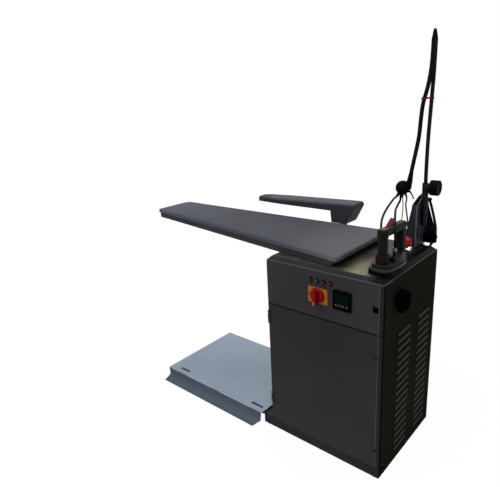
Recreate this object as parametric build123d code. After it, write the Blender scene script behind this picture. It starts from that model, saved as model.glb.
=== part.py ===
# A vacuum ironing table: a steam boiler and suction fan in a sheet steel cabinet, a long tapered
# board across its top, a sleeve arm behind the board, a foot platform with a pedal, and an iron
# on its rest beside a boom that carries the hose and cable. Millimetres, +Z up, front towards -Y.
# Everything is drawn from the cabinet's front left corner on the floor, and moved at the end so
# that the origin lies under the middle of the whole table.
import os
from math import cos, radians, sin, sqrt, tan

from build123d import *

# Cabinet
CABINET_W = 500.0
CABINET_D = 460.0
CABINET_H = 800.0
BEVEL_H = 17.0
BEVEL_IN = 18.0
SHEET = 1.5
SEAM = 2.0
PANEL_SPLIT = CABINET_H - 202.0
RETURN = 11.0
POST_LEG = 24.0
POST_T = 2.0
SIDE_SCREWS = ((9.0, CABINET_H - 74.0), (24.0, 60.0), (CABINET_D - 11.0, CABINET_H - 74.0),
               (CABINET_D - 11.0, 60.0))
GLAND_X = CABINET_W - 70.0
GLAND_Z = 120.0
GLAND_R = 12.0
GLAND_BORE = 6.5
VENT_XS = (170.0, 330.0)
VENT_W = 90.0
VENT_H = 6.0
VENT_LOW = 150.0
VENT_PITCH = 24.0
VENT_ROWS = 7

# Base and foot platform
RAIL_W = 40.0
RAIL_H = 42.0
RAIL_WALL = 2.5
PAD_T = 4.0
PLUG_T = 2.0
RAIL_REACH = 46.0
PLATFORM_LEFT = -686.0
PLATFORM_TOP = 58.0
PLATFORM_GAP = 4.0
LINK_RISE = 5.0
PLATFORM_FRONT = -16.0
PLATFORM_BACK = CABINET_D - 10.0
PLATE_T = 2.0
FLANGE_H = 24.0
ARM_W = 25.0
ARM_H = 40.0
HOOK_W = 58.0
HOOK_LEFT_IN = 94.0
HOOK_RIGHT_IN = 54.0
HOOK_BACK = 33.0
TREAD_T = 2.0
TREAD_DROP = 36.0
TREAD_LEAN = 6.0
TREAD_OUT = 36.0
TREAD_FALL = 15.0
TREAD_CUT = 20.0
PEDAL_SWITCH_X = (-390.0, -352.0)
PLUNGER_Y = -4.0

# Right side louvres
LOUVRE_ROWS = 17
LOUVRE_PITCH = 31.0
LOUVRE_W = 104.0
LOUVRE_H = 17.0
LOUVRE_OUT = 6.5
LOUVRE_LOW = 66.0
LOUVRE_COLUMNS = (168.0, 346.0)
LOUVRE_T = 1.2

# Controls
LAMP_Z = CABINET_H - 54.0
LAMP_XS = (209.0, 237.0, 265.0, 293.0)
GREEN_LAMP = 1
LAMP_R = 7.0
BEZEL_R = 9.5
BEZEL_T = 2.5
LAMP_DOME = 7.0
SWITCH_X = 240.0
SWITCH_Z = CABINET_H - 111.0
SWITCH_PLATE_W = 84.0
SWITCH_PLATE_H = 62.0
SWITCH_PLATE_T = 2.0
KNOB_R = 24.0
KNOB_SKIRT = 8.0
KNOB_GRIP_W = 15.0
KNOB_GRIP_L = 58.0
KNOB_GRIP_OUT = 20.0
SPINDLE_R = 5.0
TIMER_X = 343.0
TIMER_Z = CABINET_H - 107.0
TIMER_W = 73.0
TIMER_OUT = 7.0
TIMER_DEPTH = 60.0
LOCK_X = CABINET_W - 29.0
LOCK_Z = CABINET_H - 108.0
LOCK_SIZE = 20.0
SIDE_KNOB_Y = 104.0
SIDE_KNOB_Z = CABINET_H - 100.0
SIDE_KNOB_R = 38.0
SIDE_KNOB_T = 24.0
SIDE_KNOB_STANDOFF = 10.0
SIDE_KNOB_LOBES = 5

# Door
HINGE_AXIS = (4.0, -3.8)
HINGE_R = 3.5
HINGE_PIN_R = 1.75
HINGE_L = 56.0
HINGE_ZS = (130.0, PANEL_SPLIT - 88.0)
HINGE_LEAF_T = 1.2
DOOR_SCREWS = ((CABINET_W - 22.0, PANEL_SPLIT - 89.0), (CABINET_W - 18.0, 125.0))

# Board
BOARD_TOP = CABINET_H + 45.0
BOARD_PAN_H = 30.0
BOARD_COVER_T = 2.0
BOARD_TIP_X = -906.0
BOARD_END_X = 312.0
BOARD_TIP_NEAR = 192.0
BOARD_TIP_FAR = CABINET_D - 53.0
BOARD_END_NEAR = 12.0
BOARD_END_FAR = CABINET_D - 34.0
BOARD_NEAR_R = 12.0
BOARD_FAR_R = 38.0
BOARD_END_SLOPE = 26.0
BOARD_SKIRT = 6.0
PAN_T = 2.0
MESH_T = 2.0
MESH_COLUMNS = 18
MESH_ROWS = 4
MESH_BARS = 5
MESH_BAR_FIRST = 150.0
MESH_BAR_PITCH = 200.0
DUCT_X = 150.0
DUCT_Y = 235.0
DUCT_R = 50.0

# Sleeve arm
ARM_PIVOT_X = 60.0
ARM_PIVOT_Y = CABINET_D + 28.0
ARM_POST_R = 16.0
ARM_POST_LOW = CABINET_H - 160.0
ARM_TIP_X = -421.0
ARM_END_X = 136.0
ARM_BODY_W = 94.0
ARM_TIP_W = 74.0
ARM_BOTTOM = CABINET_H + 89.0
ARM_RISE = 14.0
ARM_TIP_H = 16.0
ARM_PAD_T = 9.0
ARM_NECK_X = (24.0, 98.0)
ARM_NECK_LOW = CABINET_H + 36.0
ARM_HEAD_X = 18.0
ARM_SHEET = 2.0
BUSH_WALL = 5.0
BUSH_Z = (CABINET_H - 138.0, CABINET_H - 30.0)
BUSH_PLATE = (90.0, 4.0)
BUSH_WEB = 28.0
RUNNING = 0.06

# Fan, duct and exhaust
FAN_R = 105.0
FAN_H = 66.0
FAN_TOP = CABINET_H - 110.0
FAN_WALL = 2.0
FAN_SPREAD = 26.0
IMPELLER_R = 84.0
IMPELLER_H = 40.0
BLADES = 12
MOTOR_R = 62.0
MOTOR_H = 120.0
SHAFT_R = 7.0
EXHAUST_R = 32.0
EXHAUST_OUT = 40.0
EXHAUST_WALL = 2.0
EXHAUST_STEP = 0.6

# Boiler, tank and pump
BOILER_R = 95.0
BOILER_X = (210.0, CABINET_W - 30.0)
BOILER_Y = 150.0
BOILER_Z = 175.0
BOILER_DOME = 24.0
FLANGE_R = 55.0
FLANGE_T = 12.0
PORT_XS = (BOILER_X[0] + 60.0, (BOILER_X[0] + BOILER_X[1]) / 2 - 10.0, BOILER_X[1] - 70.0)
SOLENOID_Z = 470.0
TANK_X = (20.0, 160.0)
TANK_Y = (CABINET_D - 230.0, CABINET_D - 20.0)
TANK_TOP = 330.0
TANK_WALL = 3.0
PUMP_X = 90.0
PUMP_Y = 110.0
PUMP_R = 38.0
BOX_X = (SHEET, 58.0)
BOX_Y = (110.0, 260.0)
BOX_Z = (400.0, 540.0)
BOX_LID = (6.0, 4.0)
BOX_GLAND_YS = (140.0, 185.0, 230.0)
BOX_GLAND_X = 30.0

# Iron and its rest
IRON_NOSE = (CABINET_W - 38.0, 240.0)
IRON_TURN = -2.8
IRON_L = 203.0
IRON_HALF_W = 45.0
REST_T = 11.0
REST_EDGE = 3.0
SOLE_T = 13.0
HOOD_H = 28.0
HOOD_INSET = 5.0
HOOD_STEP_AT = 139.0
HOOD_STEP_H = 12.0
INLET_AT = 128.0
INLET_SIDE = 24.5
INLET_R = 6.5
INLET_TOP = CABINET_H + 80.0
FRONT_POST = 43.0
REAR_POST = 167.0
POST_W = 34.0
GRIP_LOW = CABINET_H + 126.0
GRIP_TOP = CABINET_H + 156.0
DIAL_R = 23.0
DIAL_PIN_R = 9.0
TRIGGER_X = (100.0, 146.0)
TRIGGER_W = 12.0
TRIGGER_H = 25.0

# Boom, its bracket and what it carries
BRACKET_X = (CABINET_W - 116.0, CABINET_W - 57.0)
BRACKET_Y = (CABINET_D - 86.0, CABINET_D + 10.0)
BRACKET_TOP = (CABINET_H + 172.0, CABINET_H + 206.0)
BRACKET_WAIST = (CABINET_H + 50.0, CABINET_H + 70.0, CABINET_H + 160.0)
BRACKET_HEAD = 18.0
BRACKET_T = 2.5
ROD_R = 7.0
SOCKET_R = 11.5
BOSS_R = 13.0
BOSS_OUT = 20.0
CLAMP_Z = CABINET_H + 236.0
CLAMP_KNOB_R = 29.0
CLAMP_KNOB_T = 33.0
CLAMP_STUD_R = 4.0
CLAMP_FLUTES = 9
TIP_H = 35.0
TIE_T = 1.6
TIE_H = 6.0
BOOT_AT = (CABINET_W - 121.0, CABINET_D - 76.0, CABINET_H + 235.0)
BOOT_R = 27.0
BOOT_NECK_R = 10.5
COLLAR_L = 34.0
HOSE_R = 7.5
IRON_HOSE_R = 4.0
IRON_CABLE_R = 4.0
STEAM_LINE_R = 2.8
CONTROL_LINE_R = 2.0
BOOT_LINE_R = 2.5
FEED_HOSE_R = 5.0

# Routes of the boom and of what hangs from it, from the cabinet's back right top corner
ROD_POINTS = ((-46, -40, 90), (-49, -38.5, 330), (-48.5, -38, 430), (-45, -38, 530), (-41, -38, 640),
              (-41, -38, 756))
HOSE_POINTS = ((-95, -75, 264), (-91, -73, 300), (-82, -68, 360), (-73, -62, 425), (-72, -57, 490),
               (-69, -54, 545), (-55, -53, 595), (-46, -53, 650), (-43, -53, 705), (-43, -53, 756))
TIE_POINTS = ((-44, -38, 558), (-64.8, -53.8, 558))
CABLE_POINTS = ((-80, -336, 141), (-96, -293, 166), (-105, -232, 187), (-114, -168, 194), (-128, -115, 193))
IRON_HOSE_POINTS = ((-22, -339, 148), (-31, -310, 175), (-48, -268, 188), (-74, -214, 184), (-102, -160, 172),
                    (-118, -116, 170))
STEAM_POINTS = ((-98, -98, 178), (-91, -102, 150), (-83, -108, 120), (-77, -113, 90), (-75, -118, 60))
CONTROL_POINTS = ((-104, -105, 165), (-101, -115, 135), (-100, -125, 105), (-100, -132, 75), (-100, -135, 45),
                  (-100, -136, 20), (-100, -136, 0))
BOOT_LINE_END = (-78.8, -69, 192)
FEED_POINTS = ((-57, -1, 182), (-42, -1, 182), (-33, 2, 162), (-25, 8, 132), (-17, 15, 100), (-13, 22, 68),
               (-15, 27, 38), (-25, 28, 12), (-39, 27, -10), (-47, 26, -34), (-48, 16, -48), (-48, 0, -48))

# Steam valve on the cabinet top
VALVE_X = CABINET_W - 75.0
VALVE_Y = 298.0
VALVE_AXIS_Z = CABINET_H + 22.0
RISER_R = 6.0
STEM_R = 4.0

MIN3 = (Align.MIN, Align.MIN, Align.MIN)
UPRIGHT = (Align.CENTER, Align.CENTER, Align.MIN)


def block(x, y, z):
    """A box between a low and a high value on each axis."""
    size = (x[1] - x[0], y[1] - y[0], z[1] - z[0])
    return Pos(x[0], y[0], z[0]) * Box(*size, align=MIN3)


def rod(start, end, radius):
    """A round bar from one point to another."""
    run = Vector(*end) - Vector(*start)
    return extrude(Plane(origin=start, z_dir=run) * Circle(radius), amount=run.length)


def pipe(start, end, outer, inner):
    """A round tube from one point to another."""
    run = Vector(*end) - Vector(*start)
    section = Circle(outer) - Circle(inner)
    return extrude(Plane(origin=start, z_dir=run) * section, amount=run.length)


def outline(*points):
    return make_face(Polyline(*points, close=True))


def folded(points, thickness):
    """The section of a sheet bent along the points, its thickness on the path's left."""
    path = [Vector(*p) for p in points]
    runs = [(b - a).normalized() for a, b in zip(path, path[1:])]
    sides = [Vector(-r.Y, r.X) for r in runs]
    inner = [path[0] + sides[0] * thickness]
    for corner, before, after in zip(path[1:], sides, sides[1:]):
        inner.append(corner + (before + after) * (thickness / (1 + before.dot(after))))
    inner.append(path[-1] + sides[-1] * thickness)
    return make_face(Polyline(*path, *reversed(inner), close=True))


def along_x(section, x):
    """A section drawn in Y and Z, carried along X."""
    plane = Plane(origin=(x[0], 0, 0), x_dir=(0, 1, 0), z_dir=(1, 0, 0))
    return extrude(plane * section, amount=x[1] - x[0])


def along_y(section, y):
    """A section drawn in X and Z, carried along Y."""
    plane = Plane(origin=(0, y[1], 0), x_dir=(1, 0, 0), z_dir=(0, -1, 0))
    return extrude(plane * section, amount=y[1] - y[0])


def along_z(section, z):
    """A section drawn in X and Y, carried along Z."""
    return extrude(Pos(0, 0, z[0]) * section, amount=z[1] - z[0])


def from_corner(*points):
    """Points given from the cabinet's back right top corner."""
    return tuple((CABINET_W + x, CABINET_D + y, CABINET_H + z) for x, y, z in points)


def tube_path(route):
    """Straight runs joined by arcs as large as each pair of runs allows."""
    points = [Vector(*p) for p in route]
    radii = []
    for a, b, c in zip(points, points[1:], points[2:]):
        turn = radians((b - a).get_angle(c - b))
        radii.append(0.45 * min((b - a).length, (c - b).length) / tan(turn / 2))
    return FilletPolyline(*points, radius=radii)


def tube(route, radius):
    """A round bar or hose that follows a route."""
    path = tube_path(route)
    return sweep(Plane(origin=path @ 0, z_dir=path % 0) * Circle(radius), path=path)


# Base rails and their pads
def box_section(across, z, wall):
    """The section of a rectangular tube, drawn across its run and up."""
    wide, tall = across[1] - across[0], z[1] - z[0]
    ring = Rectangle(wide, tall) - Rectangle(wide - 2 * wall, tall - 2 * wall)
    return Pos((across[0] + across[1]) / 2, (z[0] + z[1]) / 2) * ring


def rail_x(x, y, z, wall):
    return along_x(box_section(y, z, wall), x)


def rail_y(x, y, z, wall):
    return along_y(box_section(x, z, wall), y)


FOLD_Z = CABINET_H - BEVEL_H
RAIL_TOP = PAD_T + RAIL_H
RAIL_Z = (PAD_T, RAIL_TOP)
RAIL_BACK_Y = (CABINET_D - RAIL_W, CABINET_D)
SIDE_RAIL_Y = (RAIL_W, CABINET_D - RAIL_W)


def base_rails():
    return [
        rail_x((-RAIL_REACH, CABINET_W), (0, RAIL_W), RAIL_Z, RAIL_WALL),
        rail_x((-RAIL_REACH, CABINET_W), RAIL_BACK_Y, RAIL_Z, RAIL_WALL),
        rail_y((-RAIL_REACH, RAIL_W - RAIL_REACH), SIDE_RAIL_Y, RAIL_Z, RAIL_WALL),
        rail_y((CABINET_W - RAIL_W, CABINET_W), SIDE_RAIL_Y, RAIL_Z, RAIL_WALL),
    ]


ARM_LOW = PLATFORM_TOP - PLATE_T - ARM_H
PLATFORM_RIGHT = -RAIL_REACH - PLATFORM_GAP
ARM_LEFT = PLATFORM_LEFT + 10
ARM_YS = (28.0, 217.0, PLATFORM_BACK - 36)


def pad_spots():
    """The middle of each pad under the rails and under the platform's far end."""
    half = RAIL_W / 2
    right = [(x, y) for x in (-RAIL_REACH + half, CABINET_W - half) for y in (half, CABINET_D - half)]
    left = [(ARM_LEFT + ARM_W / 2, y + ARM_W / 2) for y in (ARM_YS[0], ARM_YS[-1])]
    return right, left


def foot_pads():
    right, left = pad_spots()
    pads = [rod((x, y, 0), (x, y, PAD_T), 16) for x, y in right]
    pads += [rod((x, y, 0), (x, y, ARM_LOW), 11) for x, y in left]
    plug_y = RAIL_W / 2
    for y in (plug_y, CABINET_D - plug_y):
        inner = RAIL_W - 2 * RAIL_WALL
        face = block((-RAIL_REACH - PLUG_T, -RAIL_REACH), (y - plug_y, y + plug_y), RAIL_Z)
        neck = block((-RAIL_REACH, 12 - RAIL_REACH), (y - inner / 2, y + inner / 2),
                     (PAD_T + RAIL_WALL, RAIL_TOP - RAIL_WALL))
        pads.append(face + neck)
    return pads


def platform_frame():
    z = (ARM_LOW, ARM_LOW + ARM_H)
    ends = (-RAIL_REACH - PLUG_T, -RAIL_REACH, -RAIL_REACH - PLUG_T)
    arms = [rail_x((ARM_LEFT + ARM_W, end), (y, y + ARM_W), z, 2) for y, end in zip(ARM_YS, ends)]
    far_end = rail_y((ARM_LEFT, ARM_LEFT + ARM_W), (ARM_YS[0], ARM_YS[-1] + ARM_W), z, 2)
    return [*arms, far_end]


HOOK_XS = (PLATFORM_LEFT + HOOK_LEFT_IN, PLATFORM_RIGHT - HOOK_RIGHT_IN)
HOOK_Y = PLATFORM_FRONT + HOOK_BACK


def platform_plate():
    """A tray pan turned upside down, slotted near its front corners for the pedal's hooks."""
    x, y = (PLATFORM_LEFT, PLATFORM_RIGHT), (PLATFORM_FRONT, PLATFORM_BACK)
    top = block(x, y, (PLATFORM_TOP - PLATE_T, PLATFORM_TOP))
    low = PLATFORM_TOP - FLANGE_H
    flanges = [
        block((x[0], x[0] + PLATE_T), y, (low, PLATFORM_TOP)),
        block((x[1] - PLATE_T, x[1]), (22.0, y[1]), (low, PLATFORM_TOP)),
        block(x, (y[1] - PLATE_T, y[1]), (low, PLATFORM_TOP)),
        block(x, (y[0] + 8, y[0] + 8 + PLATE_T), (PLATFORM_TOP - 10, PLATFORM_TOP)),
    ]
    slots = [block((cx - HOOK_W / 2 - 3, cx + HOOK_W / 2 + 3), (HOOK_Y - 6, HOOK_Y + 6),
                   (PLATFORM_TOP - PLATE_T, PLATFORM_TOP)) for cx in HOOK_XS]
    notch_z = (low - 1, PLATFORM_TOP - PLATE_T)
    notches = [block((x[1] - 5, x[1] + 1), (arm - 0.5, arm + ARM_W + 0.5), notch_z) for arm in ARM_YS]
    return top.fuse(*flanges).cut(*slots, *notches)


def link_strip():
    """The cover over the gap between the platform and the cabinet, folded down at both ends."""
    top, back = RAIL_TOP + LINK_RISE, CABINET_D - 4
    section = folded([(back, RAIL_TOP), (back, top), (0, top), (0, RAIL_TOP)], PLATE_T)
    return along_x(section, (-RAIL_REACH, -0.5))


def pedal_tread():
    """A bent sheet bar with two tongues that reach back and up into the platform's slots."""
    top = (PLATFORM_FRONT - 2.4, PLATFORM_TOP - 0.8)
    knee = (top[0] - TREAD_LEAN, top[1] - TREAD_DROP)
    lip = (knee[0] - TREAD_OUT, knee[1] - TREAD_FALL)
    x = (PLATFORM_LEFT + 10, PLATFORM_RIGHT - 4)
    bar = along_x(folded([top, knee, lip], TREAD_T), x)
    corner = along_z(outline((x[1], knee[0]), (x[1], lip[0] - 2), (x[1] - TREAD_CUT, lip[0] - 2)),
                     (0, knee[1] + 2))
    level = PLATFORM_TOP - 14
    path = [(top[0] - 1.8, level), (HOOK_Y + TREAD_T / 2, level), (HOOK_Y + TREAD_T / 2, PLATFORM_TOP - 1.5)]
    tongues = [along_x(folded(path, TREAD_T), (cx - HOOK_W / 2, cx + HOOK_W / 2)) for cx in HOOK_XS]
    return (bar - corner).fuse(*tongues)


def pedal_switch():
    """The switch that starts the suction, on the front arm behind the pedal."""
    x = PEDAL_SWITCH_X
    body = block(x, (PLUNGER_Y, ARM_YS[0]), (PLATFORM_TOP - 34, PLATFORM_TOP - 15))
    mid = (x[0] + x[1]) / 2
    z = PLATFORM_TOP - 24
    plunger = rod((mid, PLUNGER_Y, z), (mid, PLATFORM_FRONT - 1.8, z), 4)
    return body + plunger


# Cabinet shell
INNER_X = (SHEET, CABINET_W - SHEET)
SIDE_Y = (2.5, CABINET_D)
POST_Y = (RETURN + 3.0, CABINET_D - SHEET)


def floor_pan():
    low = RAIL_TOP
    z = (low, low + SHEET)
    tray = block(INNER_X, (POST_Y[0] + 30, CABINET_D - SHEET), z)
    lip = block(INNER_X, (POST_Y[0] + 30, POST_Y[0] + 30 + SHEET), (low, low + 14))
    cradles = [cradle(x) for x in (BOILER_X[0] + 45, BOILER_X[1] - 60)]
    return (tray + lip).fuse(*cradles)


def cradle(x):
    """A bent saddle that carries the boiler above the floor pan."""
    low = RAIL_TOP + SHEET
    plate = block((x, x + 4), (BOILER_Y - 80, BOILER_Y + 80), (low, BOILER_Z - 40))
    return plate - rod((x - 1, BOILER_Y, BOILER_Z), (x + 5, BOILER_Y, BOILER_Z), BOILER_R)


def corner_post(x, y, dx, dy, low):
    """An angle section whose legs run from the corner at x, y."""
    section = outline((x, y), (x + dx * POST_LEG, y), (x + dx * POST_LEG, y + dy * POST_T),
                      (x + dx * POST_T, y + dy * POST_T), (x + dx * POST_T, y + dy * POST_LEG),
                      (x, y + dy * POST_LEG))
    return along_z(section, (low, FOLD_Z - SHEET))


def corner_posts():
    posts = []
    for x, dx in ((INNER_X[0], 1), (INNER_X[1], -1)):
        for y, dy in ((POST_Y[0], 1), (POST_Y[1], -1)):
            low = RAIL_TOP if dy > 0 else RAIL_TOP + SHEET
            posts.append(corner_post(x, y, dx, dy, low))
    return posts


def side_sheet(x, turn):
    """A side panel with a stiffening fold along its top. turn is +1 where the fold goes to +X."""
    wall = block((x, x + SHEET), SIDE_Y, (RAIL_TOP, FOLD_Z))
    start = x if turn > 0 else x + SHEET
    fold_x = sorted((start, start + turn * (POST_LEG - 6)))
    fold = block(fold_x, (POST_Y[0], CABINET_D - SHEET), (FOLD_Z - SHEET, FOLD_Z))
    return wall + fold


def left_panel():
    return side_sheet(0, 1)


def louvre(y, z, wall):
    """A pressed hood over its opening, or with a wall given, the hollow inside it."""
    x, top, low = CABINET_W, z + LOUVRE_H / 2 - wall, z - LOUVRE_H / 2
    back = x - SHEET - wall
    section = outline((back, low), (back, top), (x, top), (x + LOUVRE_OUT * 0.62 - wall, z + 2 - wall / 2),
                      (x + LOUVRE_OUT - wall, low))
    half = LOUVRE_W / 2 - wall
    return along_y(section, (y - half, y + half))


def louvre_rows():
    return [LOUVRE_LOW + i * LOUVRE_PITCH for i in range(LOUVRE_ROWS)]


def right_panel():
    """The right side, with two columns of pressed louvres and the hole for the knob's stem."""
    wall = side_sheet(CABINET_W - SHEET, -1)
    spots = [(y, z) for y in LOUVRE_COLUMNS for z in louvre_rows()]
    hoods = [louvre(y, z, 0) for y, z in spots]
    hollows = [louvre(y, z, LOUVRE_T) for y, z in spots]
    near, far = CABINET_W - 5, CABINET_W + 5
    stem = rod((near, SIDE_KNOB_Y, SIDE_KNOB_Z), (far, SIDE_KNOB_Y, SIDE_KNOB_Z), 6 + RUNNING)
    return wall.fuse(*hoods).cut(*hollows, stem)


def exhaust_at():
    """Where the fan's outlet meets the back panel."""
    return DUCT_X + FAN_R - 15, FAN_TOP - FAN_H / 2


def back_panel():
    """The back, drilled for the exhaust, the cable gland and the vent slots."""
    y = (CABINET_D - SHEET, CABINET_D)
    sheet = block(INNER_X, y, (RAIL_TOP, FOLD_Z))
    x, z = exhaust_at()
    deep = (y[0] - 1, y[1] + 1)
    holes = [rod((x, deep[0], z), (x, deep[1], z), EXHAUST_R)]
    holes.append(rod((GLAND_X, deep[0], GLAND_Z), (GLAND_X, deep[1], GLAND_Z), GLAND_R))
    for row in range(VENT_ROWS):
        z = VENT_LOW + row * VENT_PITCH
        holes += [block((cx - VENT_W / 2, cx + VENT_W / 2), deep, (z, z + VENT_H)) for cx in VENT_XS]
    return sheet.cut(*holes)


def cable_gland():
    """A screwed gland for the mains cable: body through the back, and its hexagonal nut."""
    y = CABINET_D
    bore = rod((GLAND_X, y - 20, GLAND_Z), (GLAND_X, y + 40, GLAND_Z), GLAND_BORE)
    shank = rod((GLAND_X, y - 12, GLAND_Z), (GLAND_X, y, GLAND_Z), GLAND_R)
    collar = along_y(Pos(GLAND_X, GLAND_Z) * RegularPolygon(15, 6), (y, y + 7))
    dome = along_y(Pos(GLAND_X, GLAND_Z) * Circle(12.5), (y + 7, y + 16))
    nose = along_y(Pos(GLAND_X, GLAND_Z) * Circle(10), (y + 16, y + 21))
    return (shank + collar + dome + nose) - bore


def front_sheet(z, x=(0.5, CABINET_W - 0.5)):
    """A flat front with its edges turned in."""
    face = block(x, (0, SHEET), z)
    side = (SHEET, RETURN)
    turned = [
        block((x[0] + 2.5, x[0] + 2.5 + SHEET), side, z),
        block((x[1] - 2.5 - SHEET, x[1] - 2.5), side, z),
        block((x[0] + 2.5, x[1] - 2.5), side, (z[0], z[0] + SHEET)),
        block((x[0] + 2.5, x[1] - 2.5), side, (z[1] - SHEET, z[1])),
    ]
    return face.fuse(*turned)


CONTROL_Z = (PANEL_SPLIT + SEAM / 2, FOLD_Z - 0.5)
DOOR_Z = (RAIL_TOP + 1, PANEL_SPLIT - SEAM / 2)


def front_hole(x, z, radius):
    return rod((x, -1, z), (x, SHEET + 1, z), radius)


def control_panel():
    """The fixed upper front, punched for lamps, switch, timer and lock, with tabs to the posts."""
    panel = front_sheet(CONTROL_Z)
    holes = [front_hole(x, LAMP_Z, LAMP_R) for x in LAMP_XS]
    holes.append(front_hole(SWITCH_X, SWITCH_Z, SPINDLE_R + RUNNING))
    half = TIMER_W / 2 - 3
    holes.append(block((TIMER_X - half, TIMER_X + half), (-1, SHEET + 1), (TIMER_Z - half, TIMER_Z + half)))
    holes.append(front_hole(LOCK_X, LOCK_Z, 8))
    tabs = [block((x, x + SHEET), (RETURN, POST_Y[0]), (z, z + 30))
            for x in (3.0, CABINET_W - 3.0 - SHEET) for z in (CONTROL_Z[0] + 12, CONTROL_Z[1] - 42)]
    return panel.cut(*holes).fuse(*tabs)


def hinge_span(z):
    return (z, z + HINGE_L / 3), (z + HINGE_L / 3, z + 2 * HINGE_L / 3), (z + 2 * HINGE_L / 3, z + HINGE_L)


def door_hinges():
    """The fixed leaves with their pins, screwed to the left side."""
    hinges = []
    for z in HINGE_ZS:
        low, middle, high = hinge_span(z)
        axis = HINGE_AXIS
        knuckles = [rod((*axis, a), (*axis, b), HINGE_R) for a, b in (low, high)]
        pin = rod((*axis, z), (*axis, z + HINGE_L), HINGE_PIN_R)
        leaf = block((-HINGE_LEAF_T, 0), (axis[1] - 0.6, 26), (z, z + HINGE_L))
        arm_y = (axis[1] - 0.6, axis[1] + 0.6)
        arms = [block((-HINGE_LEAF_T, axis[0]), arm_y, span) for span in (low, high)]
        hinges.append(leaf.fuse(*knuckles, pin, *arms))
    return hinges


def service_door():
    """The lower front with its middle hinge knuckles."""
    door = front_sheet(DOOR_Z)
    extra = []
    bores = []
    for z in HINGE_ZS:
        low, middle, high = hinge_span(z)
        span = (middle[0] + 0.15, middle[1] - 0.15)
        axis = HINGE_AXIS
        extra.append(rod((*axis, span[0]), (*axis, span[1]), HINGE_R))
        extra.append(block((axis[0], axis[0] + 24), (-HINGE_LEAF_T, 0), span))
        extra.append(block((axis[0], axis[0] + HINGE_R), (axis[1], 0), span))
        bores.append(rod((*axis, span[0] - 1), (*axis, span[1] + 1), HINGE_PIN_R + RUNNING))
    return door.fuse(*extra).cut(*bores)


def cabinet_top():
    """The top sheet, flat in the middle and bevelled on all four sides."""
    w, d = CABINET_W, CABINET_D
    outer = loft([Pos(w / 2, d / 2, FOLD_Z) * Rectangle(w, d),
                  Pos(w / 2, d / 2, CABINET_H) * Rectangle(w - 2 * BEVEL_IN, d - 2 * BEVEL_IN)], ruled=True)
    inset = SHEET * 1.5
    flat = Rectangle(w - 2 * BEVEL_IN - inset, d - 2 * BEVEL_IN - inset)
    inner = loft([Pos(w / 2, d / 2, FOLD_Z) * Rectangle(w - 2 * inset, d - 2 * inset),
                  Pos(w / 2, d / 2, CABINET_H - SHEET) * flat], ruled=True)
    duct = rod((DUCT_X, DUCT_Y, CABINET_H - 5), (DUCT_X, DUCT_Y, CABINET_H + 5), DUCT_R)
    riser = rod((VALVE_X, VALVE_Y, CABINET_H - 5), (VALVE_X, VALVE_Y, CABINET_H + 5), RISER_R)
    return outer - inner - duct - riser


# Controls on the front
def lamp_bezels():
    return [pipe((x, 0, LAMP_Z), (x, -BEZEL_T, LAMP_Z), BEZEL_R, LAMP_R) for x in LAMP_XS]


def lens(x):
    """A round lens with a low dome, through its bezel and the panel."""
    barrel = rod((x, 10, LAMP_Z), (x, -BEZEL_T, LAMP_Z), LAMP_R)
    crown = Pos(x, -BEZEL_T, LAMP_Z) * Rot(90, 0, 0) * Cone(LAMP_R, LAMP_R * 0.55, LAMP_DOME, align=UPRIGHT)
    return barrel + crown


def switch_plate():
    """The switch's square plate in front of the panel, and its body behind."""
    face = Pos(SWITCH_X, SWITCH_Z) * RectangleRounded(SWITCH_PLATE_W, SWITCH_PLATE_H, 5)
    plate = along_y(face, (-SWITCH_PLATE_T, 0))
    body = block((SWITCH_X - 28, SWITCH_X + 28), (SHEET, 48), (SWITCH_Z - 28, SWITCH_Z + 28))
    bore = rod((SWITCH_X, -5, SWITCH_Z), (SWITCH_X, 30, SWITCH_Z), SPINDLE_R + RUNNING)
    return [plate - bore, body - bore]


def switch_knob():
    """The main switch: a round skirt with a raised pointer grip and its spindle."""
    front = -SWITCH_PLATE_T - 0.3
    skirt = along_y(Pos(SWITCH_X, SWITCH_Z) * Circle(KNOB_R), (front - KNOB_SKIRT, front))
    grip = SlotOverall(KNOB_GRIP_L, KNOB_GRIP_W, rotation=90)
    skirt_front = front - KNOB_SKIRT
    handle = along_y(Pos(SWITCH_X, SWITCH_Z - 4) * grip, (skirt_front - KNOB_GRIP_OUT, skirt_front))
    spindle = rod((SWITCH_X, front, SWITCH_Z), (SWITCH_X, 24, SWITCH_Z), SPINDLE_R)
    return skirt + handle + spindle


def instrument():
    """The digital timer: a square bezel with its body behind the panel."""
    face = Pos(TIMER_X, TIMER_Z) * RectangleRounded(TIMER_W, TIMER_W, 3)
    window = Pos(TIMER_X, TIMER_Z) * Rectangle(TIMER_W - 12, TIMER_W - 16)
    bezel = along_y(face, (-TIMER_OUT, 0)) - along_y(window, (-TIMER_OUT, -TIMER_OUT + 2))
    half = TIMER_W / 2 - 3
    body = block((TIMER_X - half, TIMER_X + half), (0, TIMER_DEPTH), (TIMER_Z - half, TIMER_Z + half))
    return bezel + body


def instrument_window():
    window = Pos(TIMER_X, TIMER_Z) * Rectangle(TIMER_W - 12, TIMER_W - 16)
    return along_y(window, (-TIMER_OUT + 0.5, -TIMER_OUT + 2))


def panel_lock():
    """The square quarter-turn lock: plate, barrel and cam."""
    plate = along_y(Pos(LOCK_X, LOCK_Z) * RectangleRounded(LOCK_SIZE, LOCK_SIZE, 2), (-3, 0))
    barrel = rod((LOCK_X, 0, LOCK_Z), (LOCK_X, 13, LOCK_Z), 8)
    slot = block((LOCK_X - 5, LOCK_X + 5), (-3, -1.5), (LOCK_Z - 1, LOCK_Z + 1))
    return plate + barrel - slot


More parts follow.
